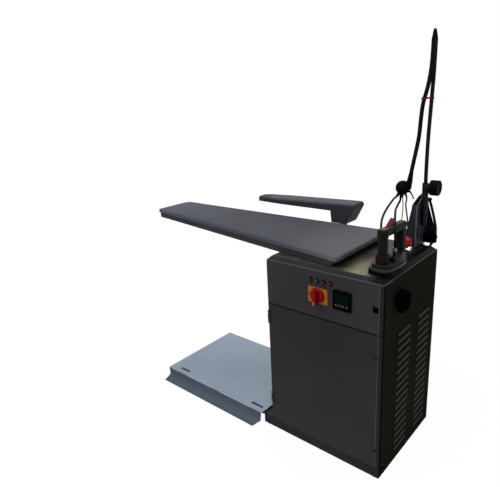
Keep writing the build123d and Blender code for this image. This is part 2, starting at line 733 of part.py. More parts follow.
def side_knob():
    """A lobed hand knob on a stem through the right side."""
    x = CABINET_W
    grip = Circle(SIDE_KNOB_R * 0.8)
    for i in range(SIDE_KNOB_LOBES):
        a = radians(360 / SIDE_KNOB_LOBES * i + 90)
        grip += Pos(SIDE_KNOB_R * 0.68 * cos(a), SIDE_KNOB_R * 0.68 * sin(a)) * Circle(SIDE_KNOB_R * 0.32)
    near, far = x + SIDE_KNOB_STANDOFF, x + SIDE_KNOB_STANDOFF + SIDE_KNOB_T
    head = along_x(Pos(SIDE_KNOB_Y, SIDE_KNOB_Z) * grip, (near, far))
    head = chamfer(head.faces().sort_by(Axis.X)[-1].edges(), 3)
    neck = rod((x + 0.3, SIDE_KNOB_Y, SIDE_KNOB_Z), (near, SIDE_KNOB_Y, SIDE_KNOB_Z), 13)
    stem = rod((x - 28, SIDE_KNOB_Y, SIDE_KNOB_Z), (x + 0.3, SIDE_KNOB_Y, SIDE_KNOB_Z), 6)
    return head + neck + stem


# Board
def board_outline(inset, end_inset=0.0):
    """The board's tapered plan, drawn in from its edge by the inset, more at the wide end."""
    near = Vector(BOARD_TIP_X, BOARD_TIP_NEAR), Vector(BOARD_END_X, BOARD_END_NEAR)
    far = Vector(BOARD_TIP_X, BOARD_TIP_FAR), Vector(BOARD_END_X, BOARD_END_FAR)
    x = (BOARD_TIP_X + inset, BOARD_END_X - inset - end_inset)

    def at(line, x_at, side):
        run = line[1] - line[0]
        lean = run.Y / run.X
        return (x_at, line[0].Y + lean * (x_at - line[0].X) + side * inset * sqrt(1 + lean * lean))

    face = outline(at(near, x[0], 1), at(near, x[1], 1), at(far, x[1], -1), at(far, x[0], -1))
    corners = face.vertices().sort_by(Axis.X)
    tip = corners[:2].sort_by(Axis.Y)
    face = fillet(tip[1], max(BOARD_FAR_R - inset, 3))
    corners = face.vertices().sort_by(Axis.X)
    first = corners.sort_by_distance((x[0], BOARD_TIP_NEAR))[0]
    face = fillet(first, max(BOARD_NEAR_R - inset / 2, 3))
    ends = face.vertices().sort_by(Axis.X)[-2:]
    return fillet(ends, max(BOARD_NEAR_R - inset / 2, 3))


PAN_Z = (CABINET_H, CABINET_H + BOARD_PAN_H)
MESH_Z = (PAN_Z[1] - MESH_T, PAN_Z[1])
PAD_Z = (PAN_Z[1], BOARD_TOP - BOARD_COVER_T)


def board_pan():
    """The suction pan: a flat bottom with sides, its wide end sloping in towards the cabinet."""
    inset = BOARD_SKIRT
    outer = loft([Pos(0, 0, PAN_Z[0]) * board_outline(inset, BOARD_END_SLOPE),
                  Pos(0, 0, PAN_Z[1]) * board_outline(inset)], ruled=True)
    inner = loft([Pos(0, 0, PAN_Z[0] + PAN_T) * board_outline(inset + PAN_T, BOARD_END_SLOPE),
                  Pos(0, 0, PAN_Z[1]) * board_outline(inset + PAN_T)], ruled=True)
    duct = rod((DUCT_X, DUCT_Y, PAN_Z[0] - 1), (DUCT_X, DUCT_Y, PAN_Z[0] + PAN_T + 1), DUCT_R)
    return outer - inner - duct


def board_mesh():
    """The pierced plate over the pan that lets the air through, on cross bars."""
    plate = along_z(board_outline(BOARD_SKIRT + PAN_T + 0.3, 2.2), MESH_Z)
    holes = []
    for i in range(MESH_COLUMNS):
        x = BOARD_TIP_X + 70 + i * (BOARD_END_X - BOARD_TIP_X - 140) / (MESH_COLUMNS - 1)
        for j in range(MESH_ROWS):
            part = (j + 0.5) / MESH_ROWS
            share = (x - BOARD_TIP_X) / (BOARD_END_X - BOARD_TIP_X)
            near = BOARD_TIP_NEAR + share * (BOARD_END_NEAR - BOARD_TIP_NEAR) + 30
            far = BOARD_TIP_FAR + share * (BOARD_END_FAR - BOARD_TIP_FAR) - 30
            y = near + part * (far - near)
            holes.append(block((x - 14, x + 14), (y - 5, y + 5), (MESH_Z[0] - 1, MESH_Z[1] + 1)))
    bars = [mesh_bar(BOARD_TIP_X + MESH_BAR_FIRST + i * MESH_BAR_PITCH) for i in range(MESH_BARS)]
    return plate.cut(*holes).fuse(*bars)


def mesh_bar(x):
    """A flat bar on edge that carries the pierced plate on the pan's floor."""
    share = (x - BOARD_TIP_X) / (BOARD_END_X - BOARD_TIP_X)
    near = BOARD_TIP_NEAR + share * (BOARD_END_NEAR - BOARD_TIP_NEAR) + BOARD_SKIRT + 14
    far = BOARD_TIP_FAR + share * (BOARD_END_FAR - BOARD_TIP_FAR) - BOARD_SKIRT - 14
    return block((x, x + 3), (near, far), (PAN_Z[0] + PAN_T, MESH_Z[0]))


def board_pad():
    return along_z(board_outline(BOARD_COVER_T), PAD_Z)


def board_cover():
    """The cloth cover, over the pad and turned down round the pan's rim."""
    low = PAN_Z[1] - 4
    outer = along_z(board_outline(0), (low, BOARD_TOP))
    inner = along_z(board_outline(BOARD_COVER_T), (low, PAD_Z[1]))
    return outer - inner


# Sleeve arm
def arm_plan(inset, x_end):
    """The arm's plan: full width at the column, narrower at the tip, with a cut front corner."""
    mid, tip = ARM_PIVOT_Y, ARM_TIP_X + inset
    wide, thin = ARM_BODY_W / 2 - inset, ARM_TIP_W / 2 - inset
    end = x_end - inset
    return outline((tip, mid - thin + 14), (tip + 14, mid - thin), (tip + 150, mid - wide), (end, mid - wide),
                   (end, mid + wide), (tip + 150, mid + wide), (tip + 24, mid + thin), (tip, mid + thin - 18))


def arm_side(inset):
    """The arm's side view: a level beam, and the neck that narrows down to the post."""
    left, right = ARM_NECK_X
    top = ARM_BOTTOM + ARM_RISE
    return outline((ARM_TIP_X + inset, ARM_BOTTOM + inset), (ARM_HEAD_X, ARM_BOTTOM + inset),
                   (left + inset, ARM_NECK_LOW + inset), (right - inset, ARM_NECK_LOW + inset),
                   (ARM_END_X - inset, top + 6), (ARM_END_X - inset, top + 16 - inset),
                   (ARM_TIP_X + inset, top - inset))


def sleeve_arm():
    """The arm's folded shell with its post, which turns in the bracket behind the cabinet."""
    tall = (ARM_NECK_LOW - 1, ARM_BOTTOM + ARM_RISE + 40)
    wide = (ARM_PIVOT_Y - ARM_BODY_W / 2, ARM_PIVOT_Y + ARM_BODY_W / 2)
    body = along_y(arm_side(0), wide) & along_z(arm_plan(0, ARM_END_X), tall)
    t = ARM_SHEET
    core = along_y(arm_side(t), (wide[0] + t, wide[1] - t)) & along_z(arm_plan(t, ARM_END_X), tall)
    centre = (ARM_PIVOT_X, ARM_PIVOT_Y)
    post = rod((*centre, ARM_POST_LOW), (*centre, ARM_BOTTOM + 8), ARM_POST_R)
    return (body - core) + post


def arm_top_at(x):
    """Height of the arm's sloping top at x."""
    low, high = ARM_BOTTOM + ARM_RISE, ARM_BOTTOM + ARM_RISE + 16
    return low + (high - low) * (x - ARM_TIP_X) / (ARM_END_X - ARM_TIP_X)


def sleeve_pad():
    """The padded top of the arm."""
    tall = (ARM_BOTTOM, ARM_BOTTOM + 60)
    wide = (ARM_PIVOT_Y - ARM_BODY_W / 2, ARM_PIVOT_Y + ARM_BODY_W / 2)
    a, b = arm_top_at(ARM_TIP_X), arm_top_at(ARM_END_X)
    side = outline((ARM_TIP_X, a), (ARM_END_X, b), (ARM_END_X, b + ARM_PAD_T), (ARM_TIP_X, a + ARM_PAD_T))
    return along_y(side, wide) & along_z(arm_plan(1, ARM_END_X), tall)


def sleeve_bracket():
    """The socket tube for the arm's post, webbed to a plate bolted to the cabinet's back."""
    centre = (ARM_PIVOT_X, ARM_PIVOT_Y)
    bore = ARM_POST_R + RUNNING
    width, thick = BUSH_PLATE
    socket = rod((*centre, ARM_POST_LOW - 8), (*centre, BUSH_Z[1]), bore + BUSH_WALL)
    plate = block((ARM_PIVOT_X - width / 2, ARM_PIVOT_X + width / 2), (CABINET_D, CABINET_D + thick),
                  (ARM_POST_LOW, FOLD_Z - 6))
    web = block((ARM_PIVOT_X - BUSH_WEB / 2, ARM_PIVOT_X + BUSH_WEB / 2), (CABINET_D, ARM_PIVOT_Y),
                (ARM_POST_LOW, BUSH_Z[1]))
    return socket.fuse(plate, web) - rod((*centre, ARM_POST_LOW), (*centre, BUSH_Z[1] + 1), bore)


# Fan and duct
def volute(offset):
    """The fan casing's plan: a circle that opens out to a straight outlet at the back."""
    x, _ = exhaust_at()
    back = CABINET_D - SHEET - 12
    half = EXHAUST_R + 2 + offset
    throat = outline((DUCT_X + 20, DUCT_Y), (x - half, back), (x + half, back),
                     (DUCT_X + FAN_R + FAN_SPREAD + offset, DUCT_Y))
    return Pos(DUCT_X + FAN_SPREAD / 2, DUCT_Y) * Circle(FAN_R + FAN_SPREAD / 2 + offset) + throat


FAN_Z = (FAN_TOP - FAN_H, FAN_TOP)


def fan_housing():
    """The volute, open to the duct above, to the motor shaft below and to the exhaust behind."""
    x, z = exhaust_at()
    back = CABINET_D - SHEET - 12
    shell = along_z(volute(FAN_WALL), FAN_Z)
    hollow = along_z(volute(0), (FAN_Z[0] + FAN_WALL, FAN_Z[1] - FAN_WALL)) - block(
        (0, CABINET_W), (back - FAN_WALL, back + 9), FAN_Z)
    inlet = rod((DUCT_X, DUCT_Y, FAN_Z[1] - 5), (DUCT_X, DUCT_Y, FAN_Z[1] + 5), DUCT_R)
    shaft = rod((DUCT_X, DUCT_Y, FAN_Z[0] - 1), (DUCT_X, DUCT_Y, FAN_Z[0] + 5), SHAFT_R + 3)
    bore = rod((x, back - 10, z), (x, back + 60, z), EXHAUST_R - EXHAUST_WALL)
    neck_r, inner_r = EXHAUST_R - EXHAUST_STEP, EXHAUST_R - EXHAUST_WALL
    neck = pipe((x, back, z), (x, CABINET_D, z), neck_r, inner_r)
    spigot = pipe((x, CABINET_D, z), (x, CABINET_D + EXHAUST_OUT, z), EXHAUST_R, inner_r)
    return (shell - hollow - inlet - shaft - bore).fuse(neck, spigot)


def fan_impeller():
    """A shrouded wheel of backward curved blades with its hub and shaft."""
    z = (FAN_Z[0] + 12, FAN_Z[0] + 12 + IMPELLER_H)
    centre = (DUCT_X, DUCT_Y)
    plate = rod((*centre, z[0]), (*centre, z[0] + 2.5), IMPELLER_R)
    shroud = pipe((*centre, z[1] - 2), (*centre, z[1]), IMPELLER_R, DUCT_R - 6)
    hub = rod((*centre, z[0] - 4), (*centre, z[0] + 24), 18)
    shaft = rod((*centre, FAN_Z[0] - 40), (*centre, z[0]), SHAFT_R)
    blade = outline((0, 0), (20, 7), (40, 9.5), (40, 12), (20, 9.5), (0, 2.5))
    blades = []
    for i in range(BLADES):
        turned = Rot(0, 0, 360 / BLADES * i) * Pos(IMPELLER_R - 42, -6) * blade
        blades.append(along_z(Pos(*centre) * turned, (z[0] + 1, z[1] - 1)))
    return plate.fuse(shroud, hub, shaft, *blades)


def fan_motor():
    """The motor under the volute, on its flange, with cooling fins round the can."""
    centre = (DUCT_X, DUCT_Y)
    top = FAN_Z[0]
    flange = rod((*centre, top - 6), (*centre, top), MOTOR_R + 14)
    can = rod((*centre, top - MOTOR_H), (*centre, top - 6), MOTOR_R)
    fins = [rod((*centre, top - 20 - i * 12), (*centre, top - 17 - i * 12), MOTOR_R + 6) for i in range(7)]
    bore = rod((*centre, top - 45), (*centre, top + 1), SHAFT_R + RUNNING)
    return flange.fuse(can, *fins) - bore


def suction_duct():
    """The duct from the board's pan down through the cabinet top to the fan."""
    centre = (DUCT_X, DUCT_Y)
    top = PAN_Z[0] + PAN_T + 6
    wall = 2
    pipe_run = pipe((*centre, FAN_TOP), (*centre, top), DUCT_R - 0.5, DUCT_R - 0.5 - wall)
    foot = pipe((*centre, FAN_TOP), (*centre, FAN_TOP + 3), DUCT_R + 12, DUCT_R - 2.5)
    collar = pipe((*centre, CABINET_H - SHEET - 4), (*centre, CABINET_H - SHEET), DUCT_R + 14, DUCT_R - 2.5)
    return pipe_run + foot + collar


# Boiler and water
def boiler():
    """The vessel: a cylinder with dished ends, ports on top and a flange ring at one end."""
    x = BOILER_X
    body = rod((x[0] + BOILER_DOME, BOILER_Y, BOILER_Z), (x[1] - BOILER_DOME, BOILER_Y, BOILER_Z), BOILER_R)
    ends = []
    for end, way in ((x[0] + BOILER_DOME, -1), (x[1] - BOILER_DOME, 1)):
        plane = Plane(origin=(end, BOILER_Y, BOILER_Z), z_dir=(way, 0, 0))
        ends.append(loft([plane * Circle(BOILER_R), plane.offset(BOILER_DOME * 0.6) * Circle(BOILER_R * 0.86),
                          plane.offset(BOILER_DOME) * Circle(BOILER_R * 0.6)], ruled=True))
    ports = [rod((px, BOILER_Y, BOILER_Z + BOILER_R - 5), (px, BOILER_Y, BOILER_Z + BOILER_R + 14), 11)
             for px in PORT_XS]
    neck = rod((x[0] - 6, BOILER_Y, BOILER_Z), (x[0] + 4, BOILER_Y, BOILER_Z), FLANGE_R - 6)
    return body.fuse(*ends, *ports, neck)


def heater_flange():
    """The bolted flange that carries the heating elements' terminals."""
    x = BOILER_X[0] - 6
    disc = rod((x - FLANGE_T, BOILER_Y, BOILER_Z), (x, BOILER_Y, BOILER_Z), FLANGE_R)
    extra = []
    for i in range(6):
        a = radians(60 * i)
        y, z = BOILER_Y + (FLANGE_R - 10) * cos(a), BOILER_Z + (FLANGE_R - 10) * sin(a)
        extra.append(along_x(Pos(y, z) * RegularPolygon(6, 6), (x - FLANGE_T - 6, x - FLANGE_T)))
    for i in range(3):
        a = radians(120 * i + 30)
        y, z = BOILER_Y + 20 * cos(a), BOILER_Z + 20 * sin(a)
        extra.append(rod((x - FLANGE_T - 16, y, z), (x - FLANGE_T, y, z), 4))
    return disc.fuse(*extra)


def boiler_fittings():
    """On the boiler's ports: safety valve, pressure switch and the steam outlet elbow."""
    low = BOILER_Z + BOILER_R + 14
    x1, x2, x3 = PORT_XS
    y = BOILER_Y
    valve = (rod((x1, y, low), (x1, y, low + 12), 12) + rod((x1, y, low + 12), (x1, y, low + 44), 9)
             + rod((x1, y, low + 44), (x1, y, low + 50), 11))
    gauge = (rod((x2, y, low), (x2, y, low + 10), 11)
             + block((x2 - 22, x2 + 22), (y - 18, y + 18), (low + 10, low + 64)))
    elbow = rod((x3, y, low), (x3, y, low + 12), 12) + rod((x3, y, low + 12), (x3, y, SOLENOID_Z - 14), 6)
    return [valve, gauge, elbow]


def steam_solenoid():
    """The steam valve's body and coil on the riser, with the pipe up to the cabinet top."""
    x, y = PORT_XS[2], BOILER_Y
    body = block((x - 18, x + 18), (y - 14, y + 14), (SOLENOID_Z - 14, SOLENOID_Z + 14))
    coil = rod((x + 18, y, SOLENOID_Z), (x + 60, y, SOLENOID_Z), 20)
    turn = SOLENOID_Z + 110
    riser = tube(((x, y, SOLENOID_Z + 14), (x, y, turn), (VALVE_X, VALVE_Y, turn + 90),
                  (VALVE_X, VALVE_Y, CABINET_H)), RISER_R)
    return body + coil + riser


def water_tank():
    """An open plastic tank with a rolled rim."""
    low, w = RAIL_TOP + SHEET, TANK_WALL
    outer = block(TANK_X, TANK_Y, (low, TANK_TOP))
    inner = block((TANK_X[0] + w, TANK_X[1] - w), (TANK_Y[0] + w, TANK_Y[1] - w), (low + w, TANK_TOP + 1))
    rim = block((TANK_X[0] - 4, TANK_X[1] + 4), (TANK_Y[0] - 4, TANK_Y[1] + 4), (TANK_TOP - 8, TANK_TOP))
    return (outer + rim) - inner


def feed_pump():
    """The pump that feeds the boiler: motor, head and foot."""
    low = RAIL_TOP + SHEET
    z = low + 52
    motor = rod((PUMP_X - 60, PUMP_Y, z), (PUMP_X + 20, PUMP_Y, z), PUMP_R)
    head = rod((PUMP_X + 20, PUMP_Y, z), (PUMP_X + 50, PUMP_Y, z), PUMP_R + 6)
    foot = block((PUMP_X - 45, PUMP_X + 10), (PUMP_Y - 30, PUMP_Y + 30), (low, z))
    port = rod((PUMP_X + 35, PUMP_Y, z), (PUMP_X + 35, PUMP_Y, z + PUMP_R + 20), 8)
    return motor + head + foot + port


def contactor_box():
    """The electrical enclosure on the left side, with its lid and glands."""
    thick, step = BOX_LID
    box = block(BOX_X, BOX_Y, BOX_Z)
    lid = block((BOX_X[1], BOX_X[1] + thick), (BOX_Y[0] + step, BOX_Y[1] - step),
                (BOX_Z[0] + step, BOX_Z[1] - step))
    glands = [rod((BOX_GLAND_X, y, BOX_Z[0] - 8), (BOX_GLAND_X, y, BOX_Z[0]), 8) for y in BOX_GLAND_YS]
    return box.fuse(lid, *glands)


# Iron
IRON_FRAME = Location((IRON_NOSE[0], IRON_NOSE[1], 0), (0, 0, IRON_TURN - 90))


def iron_outline(grow):
    """The iron's plan from the nose at the origin along +X to the heel, grown by a margin."""
    length, half = IRON_L + grow, IRON_HALF_W + grow
    shoulder = 0.62 * IRON_L
    nose = (-grow, 0)
    side = ThreePointArc(nose, (shoulder * 0.42, half * 0.72), (shoulder, half))
    heel = [(shoulder, half), (length - 24, half * 0.92), (length - 7, half * 0.72), (length, half * 0.42)]
    back = Polyline(*heel, *[(x, -y) for x, y in reversed(heel)])
    other = ThreePointArc((shoulder, -half), (shoulder * 0.42, -half * 0.72), nose)
    return make_face([side, *back.edges(), other])


def iron_rest():
    """The rest: a thick heat-proof mat shaped to the iron, with a hollow under the sole."""
    mat = along_z(iron_outline(REST_EDGE), (CABINET_H, CABINET_H + REST_T))
    hollow = along_z(iron_outline(-14), (CABINET_H + REST_T - 4, CABINET_H + REST_T))
    return IRON_FRAME * (mat - hollow)


SOLE_Z = (CABINET_H + REST_T, CABINET_H + REST_T + SOLE_T)
HOOD_Z = (SOLE_Z[1], SOLE_Z[1] + HOOD_H)
HOOD_STEP_Z = HOOD_Z[0] + HOOD_STEP_H
DIAL_Z = (HOOD_STEP_Z + 0.4, HOOD_Z[1] + 16)


def iron_sole():
    plate = along_z(iron_outline(0), SOLE_Z)
    return IRON_FRAME * chamfer(plate.faces().sort_by(Axis.Z)[0].edges(), 2)


def iron_hood():
    """The cast hood over the heating chamber: drawn in towards its top, stepped down at the heel."""
    low = Pos(0, 0, HOOD_Z[0]) * iron_outline(-HOOD_INSET)
    middle = Pos(0, 0, HOOD_Z[0] + HOOD_H * 0.55) * iron_outline(-HOOD_INSET - 3)
    top = Pos(0, 0, HOOD_Z[1]) * iron_outline(-HOOD_INSET - 9)
    shell = loft([low, middle, top], ruled=True)
    step = block((HOOD_STEP_AT, IRON_L), (-IRON_HALF_W, IRON_HALF_W), (HOOD_STEP_Z, HOOD_Z[1] + 1))
    ferrules = [rod((INLET_AT, side, HOOD_Z[0] + 2), (INLET_AT, side, INLET_TOP), INLET_R)
                for side in (-INLET_SIDE, INLET_SIDE)]
    return IRON_FRAME * (shell - step).fuse(*ferrules)


def iron_handle():
    """Two posts with the grip between them, open underneath for the hand, slotted for the trigger."""
    low, half = DIAL_Z[1] + 0.4, POST_W / 2
    rear = Pos(REAR_POST, 0, low) * Cylinder(half, GRIP_LOW - low + 4, align=UPRIGHT)
    pin = Pos(REAR_POST, 0, HOOD_STEP_Z) * Cylinder(DIAL_PIN_R, low - HOOD_STEP_Z, align=UPRIGHT)
    front = block((FRONT_POST - 14, FRONT_POST + 12), (-half, half), (HOOD_Z[1], GRIP_LOW + 4))
    front = fillet(front.edges().filter_by(Axis.Z), 6)
    bar = block((FRONT_POST - 14, REAR_POST), (-half, half), (GRIP_LOW, GRIP_TOP))
    bar = fillet(bar.edges().filter_by(Axis.X), 11)
    cap = Pos(REAR_POST, 0, GRIP_LOW) * Cylinder(half + 2, GRIP_TOP - GRIP_LOW, align=UPRIGHT)
    cap = chamfer(cap.faces().sort_by(Axis.Z)[-1].edges(), 5)
    side = TRIGGER_W / 2 + 0.4
    seat = block((TRIGGER_X[0] - 3, TRIGGER_X[1] + 3), (-side, side), (GRIP_TOP - 13, GRIP_TOP + 1))
    return IRON_FRAME * (rear.fuse(pin, front, bar, cap) - seat)


def iron_dial():
    """The heat dial, between the hood's step and the foot of the rear post."""
    disc = Pos(REAR_POST, 0, DIAL_Z[0]) * Cylinder(DIAL_R, DIAL_Z[1] - DIAL_Z[0], align=UPRIGHT)
    disc = chamfer(disc.faces().sort_by(Axis.Z)[-1].edges(), 2.5)
    bore = Pos(REAR_POST, 0, DIAL_Z[0] - 1) * Cylinder(DIAL_PIN_R + RUNNING, 60, align=UPRIGHT)
    return IRON_FRAME * (disc - bore)


def iron_trigger():
    """The thumb lever for steam, in the grip's slot and rising towards the nose."""
    (a, b), z = TRIGGER_X, GRIP_TOP
    side = outline((a, z - 2), (b, z - 9), (b, z - 2), (b - 8, z + 6), (a + 10, z + TRIGGER_H),
                   (a, z + TRIGGER_H - 4))
    return IRON_FRAME * along_y(side, (-TRIGGER_W / 2, TRIGGER_W / 2))


# Boom bracket, boom and clamp
ROD_ROUTE = from_corner(*ROD_POINTS)
HOSE_ROUTE = from_corner(*HOSE_POINTS)


def rod_at(z):
    """The centre of the boom's straight foot at a height."""
    (x0, y0, z0), (x1, y1, z1) = ROD_ROUTE[0], ROD_ROUTE[1]
    share = (z - z0) / (z1 - z0)
    return (x0 + share * (x1 - x0), y0 + share * (y1 - y0), z)


def boom_bracket():
    """A folded gusset bolted to the cabinet top, open at its back, with the boom's socket outside."""
    (x0, x1), (y0, y1) = BRACKET_X, BRACKET_Y
    low, t = CABINET_H, BRACKET_T
    front_top, back_top = BRACKET_TOP
    head = x1 - BRACKET_HEAD
    toe, knee, neck = BRACKET_WAIST
    face = outline((x0, low), (x1, low), (x1, back_top), (head, back_top), (head - 3, neck), (x0 + 21, knee),
                   (x0 + 13, toe))
    side = outline((y0, low), (y1, low), (y1, back_top), (y0 + 50, back_top - 10), (y0, front_top))
    body = along_y(face, (y0, y1)) & along_x(side, (x0, x1))
    inner = outline((x0 + t, low - 1), (x1 - t, low - 1), (x1 - t, back_top + 1), (head + t, back_top + 1),
                    (head - 3 + t, neck), (x0 + 21 + t, knee), (x0 + 13 + t, toe))
    core = along_y(inner, (y0 + t, y1 + 1))
    foot = block((x0 - 12, x1 + 12), (y0 - 8, CABINET_D - BEVEL_IN), (low, low + 4))
    slot = block((x1 - t - 1, x1 + 1), (y0 + 14, y0 + 24), (low + 40, low + 85))
    a, b = rod_at(ROD_ROUTE[0][2]), rod_at(CLAMP_Z + 16)
    socket = rod(a, b, SOCKET_R)
    cap = rod(rod_at(a[2] - 3), a, SOCKET_R)
    web = block((x1 - 1, x1 + 8), (a[1] - 8, a[1] + 8), (a[2], back_top - 14))
    near = rod_at(CLAMP_Z)
    boss = rod(near, (near[0] + BOSS_OUT, near[1], near[2]), BOSS_R)
    bore = rod(a, rod_at(CLAMP_Z + 17), ROD_R)
    stud = rod((near[0] + ROD_R, *near[1:]), (near[0] + BOSS_OUT + 1, *near[1:]), CLAMP_STUD_R + RUNNING)
    shell = (body - core - slot) + foot
    return (shell.fuse(socket, cap, web, boss) - bore) - stud


def clamp_knob():
    """The fluted hand knob with its stud, which bears on the boom."""
    centre = rod_at(CLAMP_Z)
    grip = Circle(CLAMP_KNOB_R)
    for i in range(CLAMP_FLUTES):
        a = radians(360 / CLAMP_FLUTES * i)
        grip -= Pos((CLAMP_KNOB_R + 3.5) * cos(a), (CLAMP_KNOB_R + 3.5) * sin(a)) * Circle(5.5)
    x = centre[0] + BOSS_OUT + 0.3
    head = along_x(Pos(centre[1], CLAMP_Z) * grip, (x, x + CLAMP_KNOB_T))
    face = x + CLAMP_KNOB_T
    dish = rod((face - 3, centre[1], CLAMP_Z), (face + 1, centre[1], CLAMP_Z), CLAMP_KNOB_R - 8)
    stud = rod((centre[0] + ROD_R + 0.1, centre[1], CLAMP_Z), (x, centre[1], CLAMP_Z), CLAMP_STUD_R)
    return (head - dish) + stud


def tie():
    """A strap drawn tight round the boom and the hose."""
    at_rod, at_hose = from_corner(*TIE_POINTS)

    def loop(extra):
        circles = [Pos(at_rod[0], at_rod[1]) * Circle(ROD_R + 0.4 + extra),
                   Pos(at_hose[0], at_hose[1]) * Circle(HOSE_R + 1.6 + extra)]
        return make_hull([edge for circle in circles for edge in circle.edges()])

    return along_z(loop(TIE_T) - loop(0), (at_rod[2], at_rod[2] + TIE_H))


def boom_rod():
    """The boom, its cap over the hose's end, and the strap that gathers the hose to it."""
    end, hose_end = ROD_ROUTE[-1], HOSE_ROUTE[-1]
    mid = ((end[0] + hose_end[0]) / 2, (end[1] + hose_end[1]) / 2)
    gap = abs(end[1] - hose_end[1])
    low = Pos(mid[0], mid[1], end[2]) * SlotCenterToCenter(gap, 2 * HOSE_R + 2, rotation=90)
    high = Pos(mid[0] - 2, mid[1] + 3, end[2] + TIP_H) * SlotCenterToCenter(2, 9, rotation=90)
    return [tube(ROD_ROUTE, ROD_R), loft([low, high], ruled=True), tie()]


# Splitter boot, hoses and cable
def splitter_boot():
    """The moulded boot where the boom's hose parts: a ball with a collar for the hose at its side."""
    ball = Pos(*BOOT_AT) * Sphere(BOOT_R)
    neck, ahead = Vector(*HOSE_ROUTE[0]), Vector(*HOSE_ROUTE[1])
    back = neck - (ahead - neck).normalized() * COLLAR_L
    return ball + rod(back, neck, BOOT_NECK_R)


def boot_exit(dx, dy, dz, out=0.0):
    """A point on the ball in a direction, or some way out from it."""
    way = Vector(dx, dy, dz).normalized()
    spot = Vector(*BOOT_AT) + way * (BOOT_R + out)
    return (spot.X, spot.Y, spot.Z)


def iron_spot(along, side, z):
    """A point given along and across the iron, in the table's frame."""
    place = IRON_FRAME * Pos(along, side, z)
    return tuple(place.position)


def iron_cable_route():
    low = iron_spot(INLET_AT, -INLET_SIDE, INLET_TOP)
    return (low, (low[0], low[1], low[2] + 30), *from_corner(*CABLE_POINTS), boot_exit(-15, -12, -30, 26),
            boot_exit(-15, -12, -30))


def iron_hose_route():
    low = iron_spot(INLET_AT, INLET_SIDE, INLET_TOP)
    return (low, (low[0], low[1], low[2] + 36), *from_corner(*IRON_HOSE_POINTS), boot_exit(-2, -8, -30, 24),
            boot_exit(-2, -8, -30))


def steam_line_route():
    x, y, z = VALVE_X, VALVE_Y, VALVE_AXIS_Z
    return (boot_exit(17, -9, -25), boot_exit(17, -9, -25, 20), *from_corner(*STEAM_POINTS),
            (x, y + 39, z + 14), (x, y + 34, z), (x, y + 18, z))


def control_line_route():
    return (boot_exit(9, -18, -25), boot_exit(9, -18, -25, 20), *from_corner(*CONTROL_POINTS))


def boot_line_route():
    """The short line from the boot to the bracket's leaning face."""
    return (boot_exit(23, 6, -14), boot_exit(23, 6, -14, 12), *from_corner(BOOT_LINE_END))


def feed_hose_route():
    return from_corner(*FEED_POINTS)


def service_lines():
    return [tube(steam_line_route(), STEAM_LINE_R), tube(control_line_route(), CONTROL_LINE_R),
            tube(boot_line_route(), BOOT_LINE_R), tube(feed_hose_route(), FEED_HOSE_R)]


# Steam valve
def steam_valve():
    """The valve body on the riser: foot nut, barrel with hexagon ends, bonnet and rear port."""
    x, y, z = VALVE_X, VALVE_Y, VALVE_AXIS_Z
    foot = along_z(Pos(x, y) * RegularPolygon(13, 6), (CABINET_H, CABINET_H + 9))
    neck = rod((x, y, CABINET_H), (x, y, z), 8)
    barrel = rod((x - 24, y, z), (x + 24, y, z), 10)
    ends = [along_x(Pos(y, z) * RegularPolygon(13, 6), (x + a, x + a + 10)) for a in (-32, 22)]
    port = rod((x, y, z), (x, y + 18, z), 7)
    bonnet = rod((x, y, z), (x, y, z + 16), 9)
    return foot.fuse(neck, barrel, *ends, port, bonnet) - rod((x, y, z + 4), (x, y, z + 20), STEM_R + RUNNING)


def valve_lever():
    """The valve's wing handle on its stem."""
    x, y, z = VALVE_X, VALVE_Y, VALVE_AXIS_Z + 16.3
    wings = SlotOverall(64, 22) + Circle(15)
    grip = along_z(Pos(x, y) * Rot(0, 0, 12) * wings, (z, z + 26))
    grip = chamfer(grip.faces().sort_by(Axis.Z)[-1].edges(), 3)
    stem = rod((x, y, VALVE_AXIS_Z + 5), (x, y, z), STEM_R)
    return grip + stem


# Screws
def screw(at, way, radius=5.0, reach=8.0):
    """A cheese-head screw: its head outside the surface, its shank inward, a slot across the head."""
    out = Vector(*way)
    at = Vector(*at)
    head = rod(at, at + out * 3, radius)
    shank = rod(at - out * reach, at, radius * 0.5)
    across = Vector(0, 0, 1) if abs(out.Z) < 0.5 else Vector(1, 0, 0)
    plane = Plane(origin=at + out * 3, x_dir=across, z_dir=out)
    return (head + shank) - extrude(plane * Rectangle(2.2 * radius, 1.4), amount=-1.2)


def door_screws():
    return [screw((x, 0, z), (0, -1, 0), 5.5) for x, z in DOOR_SCREWS]


def screws():
    """Every other screw: side panels, boom bracket, sleeve bracket and hinge leaves."""
    right = [screw((CABINET_W, y, z), (1, 0, 0), 4.5) for y, z in SIDE_SCREWS]
    left = [screw((0, y, z), (-1, 0, 0), 4.5) for y, z in SIDE_SCREWS]
    (x0, x1), (y0, _) = BRACKET_X, BRACKET_Y
    bracket = [screw((x, y, CABINET_H + 4), (0, 0, 1), 4.5)
               for x in (x0 - 6, x1 + 6) for y in (y0 + 6, y0 + 54)]
    width, thick = BUSH_PLATE
    sleeve = [screw((ARM_PIVOT_X + a, CABINET_D + thick, z), (0, 1, 0), 5)
              for a in (10 - width / 2, width / 2 - 10) for z in (ARM_POST_LOW + 20, FOLD_Z - 23)]
    hinge = [screw((-HINGE_LEAF_T, 17, z + a), (-1, 0, 0), 3.5) for z in HINGE_ZS for a in (12, HINGE_L - 12)]
    return [*right, *left, *bracket, *sleeve, *hinge]


